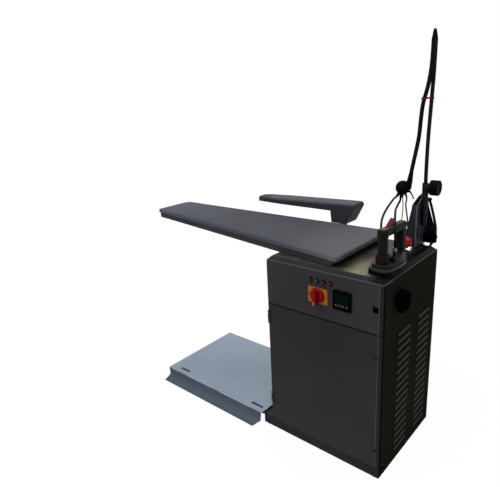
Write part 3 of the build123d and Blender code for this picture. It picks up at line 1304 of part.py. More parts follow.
# The whole table
BUILD = {
    "base_rails": base_rails, "foot_pads": foot_pads, "platform_frame": platform_frame,
    "platform_plate": lambda: [platform_plate(), link_strip()], "pedal_tread": pedal_tread,
    "pedal_switch": pedal_switch, "floor_pan": floor_pan, "corner_posts": corner_posts,
    "left_panel": left_panel, "right_panel": right_panel, "back_panel": back_panel,
    "cable_gland": cable_gland, "control_panel": control_panel, "cabinet_top": cabinet_top,
    "door_hinges": door_hinges, "service_door": service_door, "door_screws": door_screws,
    "lamp_bezels": lamp_bezels,
    "red_lenses": lambda: [lens(x) for i, x in enumerate(LAMP_XS) if i != GREEN_LAMP],
    "green_lens": lambda: lens(LAMP_XS[GREEN_LAMP]), "switch_plate": switch_plate, "switch_knob": switch_knob,
    "instrument": lambda: [instrument(), instrument_window()], "panel_lock": panel_lock,
    "side_knob": side_knob,
    "boiler": boiler, "boiler_fittings": lambda: [*boiler_fittings(), heater_flange()],
    "steam_solenoid": steam_solenoid, "water_tank": water_tank, "feed_pump": feed_pump,
    "fan_housing": fan_housing, "fan_motor": fan_motor, "fan_impeller": fan_impeller,
    "suction_duct": suction_duct, "contactor_box": contactor_box, "board_pan": board_pan,
    "board_mesh": board_mesh, "board_pad": board_pad, "board_cover": board_cover,
    "sleeve_bracket": sleeve_bracket, "sleeve_arm": sleeve_arm, "sleeve_pad": sleeve_pad,
    "iron_rest": iron_rest, "iron_sole": iron_sole, "iron_hood": iron_hood, "iron_handle": iron_handle,
    "iron_dial": iron_dial, "iron_trigger": iron_trigger, "boom_bracket": boom_bracket,
    "clamp_knob": clamp_knob, "boom_rod": boom_rod, "splitter_boot": splitter_boot,
    "boom_hose": lambda: tube(HOSE_ROUTE, HOSE_R), "iron_hose": lambda: tube(iron_hose_route(), IRON_HOSE_R),
    "iron_cable": lambda: tube(iron_cable_route(), IRON_CABLE_R),
    "service_lines": service_lines,
    "steam_valve": steam_valve, "valve_lever": valve_lever, "screws": screws,
}
CORDS = ("boom_hose", "iron_hose", "iron_cable", "service_lines")
DRILLED = ("service_door", "left_panel", "right_panel", "corner_posts", "cabinet_top", "boom_bracket",
           "back_panel", "sleeve_bracket", "door_hinges", "floor_pan", "control_panel")


def solids(made):
    """The separate solids of a node, however it was drawn."""
    items = made if isinstance(made, list) else [made]
    return [solid for item in items for solid in item.solids()]


def drill(solid, tools):
    """A solid cut by the screws that reach it."""
    box = solid.bounding_box()
    near = [tool for tool in tools if box.overlaps(tool.bounding_box())]
    return solids(solid.cut(*near)) if near else [solid]


def build_all():
    """Every node by name, with the origin under the middle of the table."""
    nodes = {name: solids(make()) for name, make in BUILD.items()}
    tools = nodes["screws"] + nodes["door_screws"]
    for name in DRILLED:
        nodes[name] = [part for solid in nodes[name] for part in drill(solid, tools)]
    box = Compound([s for name, made in nodes.items() if name not in CORDS for s in made]).bounding_box()
    shift = Pos(-(box.min.X + box.max.X) / 2, -(box.min.Y + box.max.Y) / 2, -box.min.Z)
    return {name: Compound([shift * solid for solid in made]) for name, made in nodes.items()}, shift.position


if __name__ == "__main__":
    os.makedirs("parts", exist_ok=True)
    parts, _ = build_all()
    for name, part in parts.items():
        export_step(part, f"parts/{name}.step")
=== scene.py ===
import math

import bmesh
import bpy
from mathutils import Matrix, Vector


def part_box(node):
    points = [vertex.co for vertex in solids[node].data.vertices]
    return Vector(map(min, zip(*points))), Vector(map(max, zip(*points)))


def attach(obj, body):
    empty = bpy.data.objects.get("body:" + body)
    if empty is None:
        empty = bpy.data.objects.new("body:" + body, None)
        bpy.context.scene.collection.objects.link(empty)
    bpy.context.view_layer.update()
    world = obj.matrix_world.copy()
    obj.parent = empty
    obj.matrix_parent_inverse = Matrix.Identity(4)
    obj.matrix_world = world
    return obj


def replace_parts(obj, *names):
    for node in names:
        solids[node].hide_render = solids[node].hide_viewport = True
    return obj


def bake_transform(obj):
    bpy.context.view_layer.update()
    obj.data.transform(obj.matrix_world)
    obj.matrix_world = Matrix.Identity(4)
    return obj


# A vacuum ironing table: a steel cabinet with its boiler and fan, a tapered board, a sleeve arm,
# a foot platform with a pedal, and an iron on its rest beside a boom that carries hose and cable.
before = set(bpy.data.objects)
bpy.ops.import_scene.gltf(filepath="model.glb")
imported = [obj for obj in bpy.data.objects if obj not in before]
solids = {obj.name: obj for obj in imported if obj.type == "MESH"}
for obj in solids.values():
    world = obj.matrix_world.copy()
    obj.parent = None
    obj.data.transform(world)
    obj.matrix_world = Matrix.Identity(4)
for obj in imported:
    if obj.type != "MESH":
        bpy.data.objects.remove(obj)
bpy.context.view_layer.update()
cabinet_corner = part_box("left_panel")[0] - Vector((0, 0.0025, 0))


def at(x, y, z):
    """A place in millimetres from the cabinet's front left corner on the floor."""
    return Vector((cabinet_corner.x + x / 1000, cabinet_corner.y + y / 1000, z / 1000))


# The room is a pale floor under wide, soft lamps that are far away, so that the board, cabinet and
# platform are lit alike. The camera is at the eye of a person off the cabinet's right front corner.
eye = at(1143, -1360, 1404)
heading, stoop, tilt = math.radians(-41.99), math.radians(17.25), math.radians(-3.10)
ahead = Vector((math.sin(heading) * math.cos(stoop), math.cos(heading) * math.cos(stoop), -math.sin(stoop)))
level = Vector((math.cos(heading), -math.sin(heading), 0))
above = level.cross(ahead)
right = math.cos(tilt) * level + math.sin(tilt) * above
up = math.cos(tilt) * above - math.sin(tilt) * level
lens = bpy.data.cameras.new("eye")
lens.sensor_width, lens.lens, lens.sensor_fit = 36.0, 34.344, "HORIZONTAL"
lens.clip_start, lens.clip_end = 0.05, 100
camera = bpy.data.objects.new("eye", lens)
camera.matrix_world = Matrix.Translation(eye) @ Matrix((right, up, -ahead)).transposed().to_4x4()
bpy.context.scene.collection.objects.link(camera)
bpy.context.scene.camera = camera
bpy.context.scene.view_settings.view_transform = "Standard"

sky = bpy.data.worlds.new("room")
bpy.context.scene.world = sky
sky.use_nodes = True
room = sky.node_tree
room.nodes["Background"].inputs["Color"].default_value = (0.92, 0.96, 1.0, 1)
room.nodes["Background"].inputs["Strength"].default_value = 0.36
backdrop = room.nodes.new("ShaderNodeBackground")
backdrop.inputs["Color"].default_value = (1, 1, 1, 1)


def seen(tree, share):
    """A share for the rays that see the background: the camera's, and those in metal and glass."""
    path = tree.nodes.new("ShaderNodeLightPath")
    total = path.outputs["Is Camera Ray"]
    for ray in ("Is Glossy Ray", "Is Transmission Ray"):
        both = tree.nodes.new("ShaderNodeMath")
        both.operation = "MAXIMUM"
        tree.links.new(total, both.inputs[0])
        tree.links.new(path.outputs[ray], both.inputs[1])
        total = both.outputs[0]
    part = tree.nodes.new("ShaderNodeMath")
    part.operation = "MULTIPLY"
    part.inputs[1].default_value = share
    tree.links.new(total, part.inputs[0])
    return part.outputs[0]


chosen = room.nodes.new("ShaderNodeMixShader")
room.links.new(seen(room, 1.0), chosen.inputs[0])
room.links.new(room.nodes["Background"].outputs[0], chosen.inputs[1])
room.links.new(backdrop.outputs[0], chosen.inputs[2])
room.links.new(chosen.outputs[0], room.nodes["World Output"].inputs["Surface"])

floor_sheet = bpy.data.meshes.new("floor")
floor_sheet.from_pydata([(-30, -30, 0), (30, -30, 0), (30, 30, 0), (-30, 30, 0)], [], [(0, 1, 2, 3)])
floor = bpy.data.objects.new("floor", floor_sheet)
bpy.context.scene.collection.objects.link(floor)
floor_paint = bpy.data.materials.new("floor_paint")
floor_paint.use_nodes = True
tree = floor_paint.node_tree
tree.nodes["Principled BSDF"].inputs["Base Color"].default_value = (0.55, 0.55, 0.55, 1)
tree.nodes["Principled BSDF"].inputs["Roughness"].default_value = 0.9
glow = tree.nodes.new("ShaderNodeEmission")
glow.inputs["Strength"].default_value = 1.03
blend = tree.nodes.new("ShaderNodeMixShader")
tree.links.new(seen(tree, 0.94), blend.inputs[0])
tree.links.new(tree.nodes["Principled BSDF"].outputs[0], blend.inputs[1])
tree.links.new(glow.outputs[0], blend.inputs[2])
tree.links.new(blend.outputs[0], tree.nodes["Material Output"].inputs["Surface"])
floor_sheet.materials.append(floor_paint)

lamps = (("window", (-0.36, -0.58, 0.73), 35, 1.35),
         ("ceiling", (0.05, 0.12, 1.0), 60, 1.15),
         ("far_wall", (-0.45, 0.75, 0.5), 50, 0.35))
for name, way, spread, strength in lamps:
    panel = bpy.data.lights.new(name, "SUN")
    panel.angle, panel.energy, panel.color = math.radians(spread), strength, (1.0, 0.985, 0.96)
    lamp = bpy.data.objects.new(name, panel)
    lamp.rotation_euler = Vector(way).to_track_quat("Z", "Y").to_euler()
    bpy.context.scene.collection.objects.link(lamp)


# The base is a frame of square steel tube, painted nearly black and worn where feet catch it. It
# stands on round rubber pads, and plugs close the two ends that reach past the cabinet.
def tint(red, green, blue, lift=1.0):
    """A colour from the numbers of a colour chip."""
    part = [c / 255 for c in (red, green, blue)]
    return [lift * (c / 12.92 if c <= 0.04045 else ((c + 0.055) / 1.055) ** 2.4) for c in part] + [1.0]


class Finish:
    """One material: a shader with the textures that colour it, roughen it and raise it."""

    def __init__(self, name, roughness, **sockets):
        self.material = bpy.data.materials.new(name)
        self.material.use_nodes = True
        self.tree = self.material.node_tree
        self.shader = self.tree.nodes["Principled BSDF"]
        self.place = self.add("TexCoord").outputs["Object"]
        self.height = None
        self.shader.inputs["Roughness"].default_value = roughness
        for socket, value in sockets.items():
            self.shader.inputs[socket.replace("_", " ")].default_value = value

    def add(self, kind, inputs=(), **settings):
        made = self.tree.nodes.new("ShaderNode" + kind)
        for key, value in settings.items():
            setattr(made, key, value)
        for key, value in dict(inputs).items():
            if isinstance(value, bpy.types.NodeSocket):
                self.tree.links.new(value, made.inputs[key])
            else:
                made.inputs[key].default_value = value
        return made

    def cloud(self, scale, detail=4.0, stretch=None):
        """Cloudy noise, in patches of 1/scale metres, drawn out along an axis by stretch."""
        place = self.place
        if stretch:
            place = self.add("Mapping", {"Vector": place, "Scale": stretch}).outputs[0]
        return self.add("TexNoise", {"Vector": place, "Scale": scale, "Detail": detail}).outputs[0]

    def ramp(self, source, *stops):
        """Turns a value into a grey or colour that changes at the stops."""
        made = self.add("ValToRGB", {"Fac": source})
        points = made.color_ramp.elements
        while len(points) < len(stops):
            points.new(1.0)
        for point, (where, shade) in zip(points, stops):
            point.position = where
            point.color = shade if hasattr(shade, "__len__") else (shade, shade, shade, 1)
        return made.outputs["Color"]

    def mix(self, share, first, second):
        return self.add("Mix", {0: share, 6: first, 7: second}, data_type="RGBA").outputs[2]

    def times(self, first, second, way="MULTIPLY"):
        return self.add("Math", {0: first, 1: second}, operation=way, use_clamp=True).outputs[0]

    def band(self, axis, low, high):
        """Runs from 0 to 1 between two places along X, Y or Z; the places are in metres."""
        along = self.add("SeparateXYZ", {0: self.place}).outputs[axis]
        return self.add("MapRange", {"Value": along, "From Min": low, "From Max": high}).outputs[0]

    def stain(self, share, chip):
        """Puts a colour over what the surface has so far, where the share is high."""
        so_far = self.shader.inputs["Base Color"].links[0].from_socket
        self.colour(self.mix(share, so_far, tint(*chip)))

    def rims(self, reach=0.0018):
        """High along the edges of the solid, where paint wears and light catches."""
        soft = self.add("Bevel", {"Radius": reach}, samples=4).outputs[0]
        true = self.add("NewGeometry").outputs["Normal"]
        turn = self.add("VectorMath", {0: soft, 1: true}, operation="DOT_PRODUCT").outputs["Value"]
        return self.ramp(turn, (0.80, 1.0), (0.985, 0.0))

    def upward(self):
        """High on the faces that look up: dust settles there, and the iron's handle gets its painted
        highlight there.
        """
        facing = self.add("SeparateXYZ", {0: self.add("NewGeometry").outputs["Normal"]}).outputs["Z"]
        return self.ramp(facing, (0.78, 0.0), (0.98, 1.0))

    def raise_by(self, source, depth, strength=1.0):
        """Adds relief; the depth is in metres."""
        inputs = {"Height": source, "Distance": depth, "Strength": strength}
        if self.height:
            inputs["Normal"] = self.height
        self.height = self.add("Bump", inputs).outputs[0]
        self.tree.links.new(self.height, self.shader.inputs["Normal"])

    def colour(self, source):
        self.tree.links.new(source, self.shader.inputs["Base Color"])

    def gloss(self, source, dull, bright):
        """Roughness that runs between two values with a texture."""
        span = self.add("MapRange", {"Value": source, "To Min": dull, "To Max": bright})
        self.tree.links.new(span.outputs[0], self.shader.inputs["Roughness"])


def paint(name, chip, worn, dust=(92, 90, 86), roughness=0.42, dirt=0.35, wear=0.6, film=0.35, shine=0.1):
    """Baked paint on sheet steel: a fine orange peel, faint clouds, dust on top and rubbed edges."""
    made = Finish(name, roughness, Specular_IOR_Level=shine)
    broad, fine, speck = made.cloud(2.6, 5), made.cloud(38, 6), made.cloud(420, 3)
    base = made.mix(made.ramp(broad, (0.32, 0.0), (0.70, 1.0)), tint(*chip, 0.80), tint(*chip, 1.20))
    base = made.mix(made.times(made.ramp(fine, (0.50, 0.0), (0.75, 1.0)), dirt), base, tint(*chip, 0.62))
    settled = made.times(made.upward(), made.ramp(fine, (0.35, 0.15), (0.75, 0.55)))
    base = made.mix(made.times(settled, film), base, tint(*dust))
    rubbed = made.times(made.rims(), made.ramp(speck, (0.42, 0.0), (0.62, 1.0)))
    base = made.mix(made.times(rubbed, wear), base, tint(*worn))
    made.colour(base)
    made.gloss(fine, roughness - 0.07, roughness + 0.13)
    made.raise_by(made.cloud(900, 2), 0.00012, 0.35)
    made.raise_by(made.cloud(5, 2), 0.0012, 0.12)
    return made


def rubber(name, chip, roughness=0.62, grain=1500, lit_top=None, shine=0.05):
    """Moulded rubber or soft plastic with a dull bloom, a fine grain, edges made paler as a painted
    highlight, and a top made paler as a painted highlight where lit_top is given.
    """
    made = Finish(name, roughness, Specular_IOR_Level=shine)
    bloom, grit = made.cloud(24, 5), made.cloud(grain, 2)
    base = made.mix(made.ramp(bloom, (0.35, 0.0), (0.75, 1.0)), tint(*chip, 0.75), tint(*chip, 1.35))
    # Painted highlight: the edges are made paler, as if catching light.
    base = made.mix(made.times(made.rims(0.0012), 0.35), base, tint(*chip, 2.4))
    # Painted highlight: the faces that look up are made paler, as if lit from above.
    if lit_top:
        base = made.mix(made.times(made.upward(), 0.75), base, tint(*lit_top))
    made.colour(base)
    made.gloss(bloom, roughness - 0.12, roughness + 0.14)
    made.raise_by(grit, 0.00015, 0.5)
    return made.material


def worked(name, nodes, body, finish, edge=0.0008, steps=2, keep=None, turn=32):
    """The nodes' solids in one mesh with their edges rounded as a press brake, mould or file leaves
    them. keep picks solids by their middle, in millimetres from the cabinet's corner."""
    mesh = bmesh.new()
    for node in nodes:
        mesh.from_mesh(solids[node].data)
    for verts in shells(mesh):
        bmesh.ops.remove_doubles(mesh, verts=verts, dist=4e-6)
    if keep:
        for island in islands(mesh):
            low = Vector(min(v.co[i] for v in island) for i in range(3))
            high = Vector(max(v.co[i] for v in island) for i in range(3))
            if not keep(((low + high) / 2 - at(0, 0, 0)) * 1000, (high - low) * 1000):
                bmesh.ops.delete(mesh, geom=island, context="VERTS")
    bmesh.ops.dissolve_limit(mesh, angle_limit=math.radians(0.5), verts=mesh.verts, edges=mesh.edges)
    sharp = [e for e in mesh.edges
             if e.is_manifold and e.is_convex and e.calc_face_angle(0) > math.radians(turn)]
    if edge:
        bmesh.ops.bevel(mesh, geom=sharp, offset=edge, offset_type="OFFSET", segments=steps, profile=0.5,
                        affect="EDGES", clamp_overlap=False)
    made = piece(name, mesh, body, finish)
    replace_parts(made, *nodes)
    return made


def shells(mesh):
    """The vertices of each closed solid, whose faces follow one another, so that solids that touch
    stay apart."""
    found, run, unpaired = [], set(), set()
    for face in mesh.faces:
        run.update(face.verts)
        for edge in face.edges:
            unpaired ^= {frozenset(tuple(round(c, 6) for c in vert.co) for vert in edge.verts)}
        if not unpaired:
            found.append(list(run))
            run = set()
    return found + [list(run)] if run else found


def islands(mesh):
    """The vertices of each separate solid in a mesh."""
    found, left = [], set(mesh.verts)
    while left:
        island, edge = set(), [left.pop()]
        while edge:
            vert = edge.pop()
            island.add(vert)
            near = {e.other_vert(vert) for e in vert.link_edges} & left
            left -= near
            edge.extend(near)
        found.append(list(island))
    return found


def piece(name, mesh, body, finish, smooth=40, weighted=True):
    """A finished mesh as a named piece, which moves with its body."""
    data = bpy.data.meshes.new(name)
    mesh.to_mesh(data)
    mesh.free()
    data.materials.append(finish)
    for face in data.polygons:
        face.use_smooth = True
    data.set_sharp_from_angle(angle=math.radians(smooth))
    made = bpy.data.objects.new(name, data)
    bpy.context.scene.collection.objects.link(made)
    if weighted:
        made.modifiers.new("even_faces", "WEIGHTED_NORMAL").keep_sharp = True
    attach(made, body)
    return made


def coat(finish, *nodes):
    """Gives solids whose shape is right their finish."""
    for node in nodes:
        if not solids[node].material_slots:
            solids[node].data.materials.append(finish)
        for place in solids[node].material_slots:
            place.material = finish


frame_paint = paint("frame_paint", (24, 24, 27), (62, 62, 64), roughness=0.5).material
black_rubber = rubber("rubber_black", (6, 6, 6), shine=0.03)
black_plastic = rubber("plastic_black", (6, 6, 7), 0.5, 2600, shine=0.0)
worked("rails", ["base_rails"], "stand", frame_paint, 0.0022, 3)
coat(black_rubber, "foot_pads")


# The foot platform is a steel tray turned upside down on three arms of square tube. Its pale blue
# grey paint is scuffed by shoes, and a folded strip covers the gap to the cabinet.
def trodden(name, chip, worn):
    """Platform paint: scratches from soles, dull smears and pale worn edges."""
    made = Finish(name, 0.5, Specular_IOR_Level=0.2)
    broad, fine = made.cloud(3.2, 5), made.cloud(26, 6)
    drag = made.cloud(34, 3, (1.0, 14.0, 1.0))
    cross = made.cloud(30, 3, (12.0, 1.4, 1.0))
    base = made.mix(made.ramp(broad, (0.30, 0.0), (0.72, 1.0)), tint(*chip, 0.86), tint(*chip, 1.10))
    base = made.mix(made.times(made.ramp(fine, (0.52, 0.0), (0.80, 1.0)), 0.30), base, tint(*chip, 0.66))
    scratches = made.times(made.ramp(drag, (0.66, 0.0), (0.74, 1.0)),
                           made.ramp(broad, (0.42, 0.0), (0.62, 1.0)))
    base = made.mix(made.times(scratches, 0.30), base, tint(*chip, 1.45))
    smears = made.times(made.ramp(cross, (0.60, 0.0), (0.78, 1.0)),
                        made.ramp(fine, (0.40, 0.0), (0.6, 1.0)))
    base = made.mix(made.times(smears, 0.28), base, tint(*chip, 0.55))
    base = made.mix(made.times(made.rims(), 0.5), base, tint(*worn))
    made.colour(base)
    made.gloss(fine, 0.36, 0.62)
    made.raise_by(made.cloud(800, 2), 0.00012, 0.3)
    made.raise_by(made.cloud(6, 2), 0.0015, 0.15)
    return made.material


platform_paint = trodden("platform_paint", (143, 155, 172), (186, 192, 200))
tread_paint = trodden("tread_paint", (66, 76, 91), (118, 124, 132))
coat(frame_paint, "platform_frame")
worked("platform_tray", ["platform_plate"], "stand", platform_paint, 0.0014, 3,
       lambda middle, size: middle.x < -100)
worked("link_strip", ["platform_plate"], "stand", frame_paint, 0.0012, 3,
       lambda middle, size: middle.x > -100)
worked("pedal_bar", ["pedal_tread"], "pedal", tread_paint, 0.0008, 2)
coat(black_plastic, "pedal_switch")


# The cabinet is folded sheet steel on four corner angles, with a fixed front for the controls, a
# hinged door below it and a top that is bevelled all round. Louvres are pressed in its right side.
def slab(name, low, high, body, finish, edge=0.6, steps=2):
    """A small moulded or folded block with rounded edges, between two places in millimetres."""
    mesh = bmesh.new()
    bmesh.ops.create_cube(mesh, size=1.0)
    low, high = at(*low), at(*high)
    for vert in mesh.verts:
        vert.co = Vector(low[i] if vert.co[i] < 0 else high[i] for i in range(3))
    bmesh.ops.bevel(mesh, geom=mesh.edges[:], offset=edge / 1000, offset_type="OFFSET", segments=steps,
                    profile=0.5, affect="EDGES", clamp_overlap=True)
    return piece(name, mesh, body, finish)


SPLIT, FOLD = 0.598, 0.783  # heights of the seam over the door and of the fold under the top
SIDE, FRONT, TOP = at(500, 0, 0).x, at(0, 0, 0).y, 0.7997  # planes of the right side, front and top


def front_paint(name, chip):
    """Paint of a front sheet, with painted shade in the seam at the door, painted shade along the rolled
    edge on the right, and a painted highlight beside that edge.
    """
    made = paint(name, chip, (84, 84, 86), wear=0.5)
    # Painted shade: a dark line along the seam over the door.
    below = made.band("Z", SPLIT - 0.0050, SPLIT - 0.0040)
    over = made.band("Z", SPLIT + 0.0046, SPLIT + 0.0036)
    made.stain(made.times(below, over), (15, 15, 17))
    # Painted shade: the rolled edge on the right, over its last 13.5 mm, is made dark.
    made.stain(made.band("X", SIDE - 0.0155, SIDE - 0.0135), (23, 24, 24))
    # Painted highlight: a pale line just left of the dark rolled edge.
    inner = made.band("X", SIDE - 0.0185, SIDE - 0.0165)
    outer = made.band("X", SIDE - 0.0140, SIDE - 0.0150)
    made.stain(made.times(inner, outer), (70, 70, 76))
    return made.material


cabinet_paint = paint("cabinet_paint", (40, 40, 44), (84, 84, 86), wear=0.5).material
door_paint, panel_paint = front_paint("door_paint", (38, 38, 42)), front_paint("panel_paint", (47, 46, 50))
# The right side has its own darker, browner copy of the cabinet paint: painted shade for the dim, warm
# light on that side.
shaded_side_paint = paint("shaded_side_paint", (37, 35, 31), (52, 49, 44), dirt=0.5, wear=0.25, shine=0.0)
# Painted shade: a dark strip along the front edge of the right side, at the corner.
shaded_side_paint.stain(shaded_side_paint.band("Y", FRONT + 0.0170, FRONT + 0.0130), (20, 21, 20))
# Painted highlight: the louvres' outer lips, which stand out past the side, are made pale.
shaded_side_paint.stain(shaded_side_paint.times(shaded_side_paint.band("X", SIDE + 0.0042, SIDE + 0.0060), 0.8), (98, 92, 82))
shaded_side_paint = shaded_side_paint.material
top_paint = paint("top_paint", (43, 42, 44), (78, 78, 78), dust=(106, 103, 88), dirt=0.4, wear=0.4,
                  film=0.8, shine=0.04)
# Painted reflection: a cream patch on the flat top, right of the board's end and near the front, stands for
# bright light mirrored in the glossy top.
painted_reflection = top_paint.ramp(top_paint.cloud(11, 4), (0.35, 0.45), (0.60, 1.0))
for axis, low, high in (("X", SIDE - 0.1750, SIDE - 0.1250), ("X", SIDE - 0.0620, SIDE - 0.0860),
                        ("Y", FRONT + 0.2000, FRONT + 0.1300), ("Z", TOP - 0.0007, TOP)):
    painted_reflection = top_paint.times(painted_reflection, top_paint.band(axis, low, high))
# Painted shade: the top turns near black over its last 70 mm to the right, over the right bevel and under
# the iron.
top_paint.stain(top_paint.times(top_paint.band("X", SIDE - 0.0700, SIDE - 0.0350), 1.0), (9, 6, 4))
top_paint.stain(top_paint.times(painted_reflection, 0.9), (136, 134, 108))
# Painted highlight: a pale line along the bottom of the bevel, where the fold catches light.
top_paint.stain(top_paint.times(top_paint.band("Z", FOLD + 0.0038, FOLD + 0.0022), 0.75), (88, 85, 84))
top_paint = top_paint.material
zinc = Finish("zinc", 0.42, Metallic=0.85)
spangle = zinc.add("TexVoronoi", {"Vector": zinc.place, "Scale": 60.0}).outputs["Color"]
spangle = zinc.ramp(zinc.add("RGBToBW", {0: spangle}).outputs[0],
                    (0.1, tint(132, 134, 134)), (0.9, tint(182, 184, 184)))
zinc.colour(zinc.mix(zinc.times(zinc.cloud(18, 5), 0.4), spangle, tint(96, 94, 90)))
zinc.gloss(zinc.cloud(44, 4), 0.32, 0.55)
zinc = zinc.material
coat(zinc, "floor_pan", "corner_posts")
worked("left_sheet", ["left_panel"], "stand", cabinet_paint, 0.0008)
worked("right_sheet", ["right_panel"], "stand", shaded_side_paint, 0.0007)
worked("back_sheet", ["back_panel"], "stand", cabinet_paint, 0.0004, 1)
worked("control_front", ["control_panel"], "stand", panel_paint, 0.0009)
worked("door_front", ["service_door"], "door", door_paint, 0.0009)
worked("top_sheet", ["cabinet_top"], "stand", top_paint, 0.0016, 3)
slab("right_skirt", (500, 3, 4.5), (501.2, 457, 46.5), "stand", shaded_side_paint, 0.5)
coat(black_plastic, "cable_gland")


# The hinges are plated steel, brushed by handling. The screws' heads have gone dark, with patches
# of grime.
def metal(name, chip, roughness=0.32, brushed=(1.0, 1.0, 18.0), stain=(70, 64, 56)):
    """Bare or plated metal with fine drawing lines and stains."""
    made = Finish(name, roughness, Metallic=1.0)
    lines, broad = made.cloud(260, 3, brushed), made.cloud(30, 5)
    base = made.mix(made.ramp(lines, (0.35, 0.0), (0.65, 1.0)), tint(*chip, 0.80), tint(*chip, 1.08))
    base = made.mix(made.times(made.ramp(broad, (0.50, 0.0), (0.80, 1.0)), 0.45), base, tint(*stain))
    made.colour(base)
    made.gloss(lines, roughness - 0.08, roughness + 0.14)
    made.raise_by(lines, 0.00006, 0.5)
    return made.material


screw_steel = metal("screw_steel", (36, 35, 33), 0.55, (1, 1, 1), (18, 17, 16))
steel = metal("steel", (96, 96, 94), 0.4)
worked("hinge_barrels", ["door_hinges"], "stand", steel, 0.0003)
worked("screw_heads", ["screws"], "stand", screw_steel, 0.0004)
worked("door_screw_heads", ["door_screws"], "door", screw_steel, 0.0005)


# Controls on the front: four pilot lamps in black bezels, a yellow plate with the red main
# switch, a square digital timer and a quarter-turn lock. All are bought-in moulded parts.
def moulded(name, chip, roughness=0.34, shine=0.16, **sockets):
    """Glossy moulded plastic with a faint flow pattern, fine scratches and edges made paler as a painted
    highlight.
    """
    made = Finish(name, roughness, Specular_IOR_Level=shine, **sockets)
    flow, scratch = made.cloud(20, 4), made.cloud(300, 3, (1.0, 1.0, 9.0))
    base = made.mix(made.ramp(flow, (0.35, 0.0), (0.70, 1.0)), tint(*chip, 0.86), tint(*chip, 1.12))
    # Painted highlight: the edges are made paler, as if catching light.
    base = made.mix(made.times(made.rims(0.001), 0.35), base, tint(*chip, 1.5))
    made.colour(base)
    made.gloss(scratch, roughness - 0.08, roughness + 0.16)
    made.raise_by(made.cloud(1800, 2), 0.00006, 0.4)
    return made.material


def turned(name, rings, place, way, body, finish, sides=48, smooth=40):
    """A round part from its rings of (along, radius), along a direction from a place."""
    mesh = bmesh.new()
    turn = Vector(way).normalized().to_track_quat("Z", "Y").to_matrix()
    spokes = [(math.cos(a), math.sin(a)) for a in (2 * math.pi * i / sides for i in range(sides))]
    loops = []
    for along, radius in rings:
        places = [(radius * x, radius * y, along) for x, y in spokes] if radius else [(0, 0, along)]
        loops.append([mesh.verts.new(place + turn @ Vector(spot)) for spot in places])
    for low, high in zip(loops, loops[1:]):
        for i in range(sides):
            ring = (low[i % len(low)], low[(i + 1) % len(low)],
                    high[(i + 1) % len(high)], high[i % len(high)])
            corners = list(dict.fromkeys(ring))
            if len(corners) > 2:
                mesh.faces.new(corners)
    for ring in (loops[0], loops[-1]):
        if len(ring) > 1 and rings[0] != rings[-1]:
            mesh.faces.new(ring)
    bmesh.ops.remove_doubles(mesh, verts=mesh.verts, dist=1e-7)
    bmesh.ops.recalc_face_normals(mesh, faces=mesh.faces)
    return piece(name, mesh, body, finish, smooth)


red_lens = moulded("lens_red", (84, 16, 16), 0.35, Transmission_Weight=0.1)
green_lens = moulded("lens_green", (14, 62, 36), 0.35, Transmission_Weight=0.1)
LAMP_XS, LAMP_Z, FORWARD = (209, 237, 265, 293), 746, (0, -1, 0)
bezel_rings = ((0.0, 0.0071), (0.0, 0.0095), (0.0012, 0.0095), (0.0021, 0.0090), (0.0025, 0.0082),
               (0.0024, 0.0074), (0.0016, 0.0071))
lens_rings = ((-0.0095, 0.0066), (0.0022, 0.0066), (0.0036, 0.0064), (0.0060, 0.0058), (0.0078, 0.0046),
              (0.0089, 0.0026), (0.0093, 0.0))
for number, x in enumerate(LAMP_XS, 1):
    bezel = turned(f"lamp_bezel_{number}", bezel_rings, at(x, 0, LAMP_Z), FORWARD, "stand", black_plastic)
    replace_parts(bezel, "lamp_bezels")
    glass, slot, node = red_lens, "lens_red", "red_lenses"
    if number == 2:
        glass, slot, node = green_lens, "lens_green", "green_lens"
    cap = turned(f"lamp_lens_{number}", lens_rings, at(x, 0, LAMP_Z), FORWARD, "stand", glass,
                 sides=24, smooth=50)
    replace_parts(cap, node)

yellow_plate = moulded("plate_yellow", (166, 98, 18), 0.45, 0.08)
red_plastic = moulded("plastic_red", (122, 8, 11), 0.42, 0.08)
white_mark = moulded("plastic_white", (190, 188, 178), 0.5)
worked("switch_face", ["switch_plate"], "stand", yellow_plate, 0.0006, 2,
       lambda middle, size: middle.y < 0)
worked("switch_body", ["switch_plate"], "stand", black_plastic, 0.001, 2,
       lambda middle, size: middle.y > 0)
SWITCH_Z, PLATE_Y = 689, -2
skirt_rings = ((0.0003, 0.0), (0.0003, 0.0288), (0.0030, 0.0296), (0.0062, 0.0290), (0.0090, 0.0262),
               (0.0100, 0.0225), (0.0102, 0.0))
skirt = turned("switch_skirt", skirt_rings, at(240, PLATE_Y, SWITCH_Z), FORWARD, "main_switch", red_plastic,
               sides=64)
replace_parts(skirt, "switch_knob")
worked("switch_grip", ["switch_knob"], "main_switch", red_plastic, 0.0026, 4)
slab("switch_pointer", (238.9, -31.0, 659), (241.1, -30.2, 673), "main_switch", white_mark,
     0.25)
slab("switch_mark_1", (276.6, -2.5, 685), (278.2, -1.9, 693), "stand", black_plastic, 0.2)
zero_rings = ((0.0, 0.0024), (0.0, 0.0036), (0.0004, 0.0036), (0.0004, 0.0024), (0.0, 0.0024))
turned("switch_mark_0", zero_rings, at(204, PLATE_Y, SWITCH_Z), FORWARD, "stand", black_plastic,
       sides=24)
worked("timer_bezel", ["instrument"], "stand", black_plastic, 0.0010, 3,
       lambda middle, size: size.y > 5)
window_glass = moulded("timer_window", (4, 8, 7), 0.5, 0.02)
display_glass = moulded("timer_display", (3, 15, 12), 0.5, 0.02)
key_grey = moulded("key_grey", (66, 68, 66), 0.5)
worked("timer_window", ["instrument"], "stand", window_glass, 0.0003, 2,
       lambda middle, size: size.y < 5)
slab("timer_display", (318, -7.3, 692), (368, -6.4, 716), "stand", display_glass, 0.3)
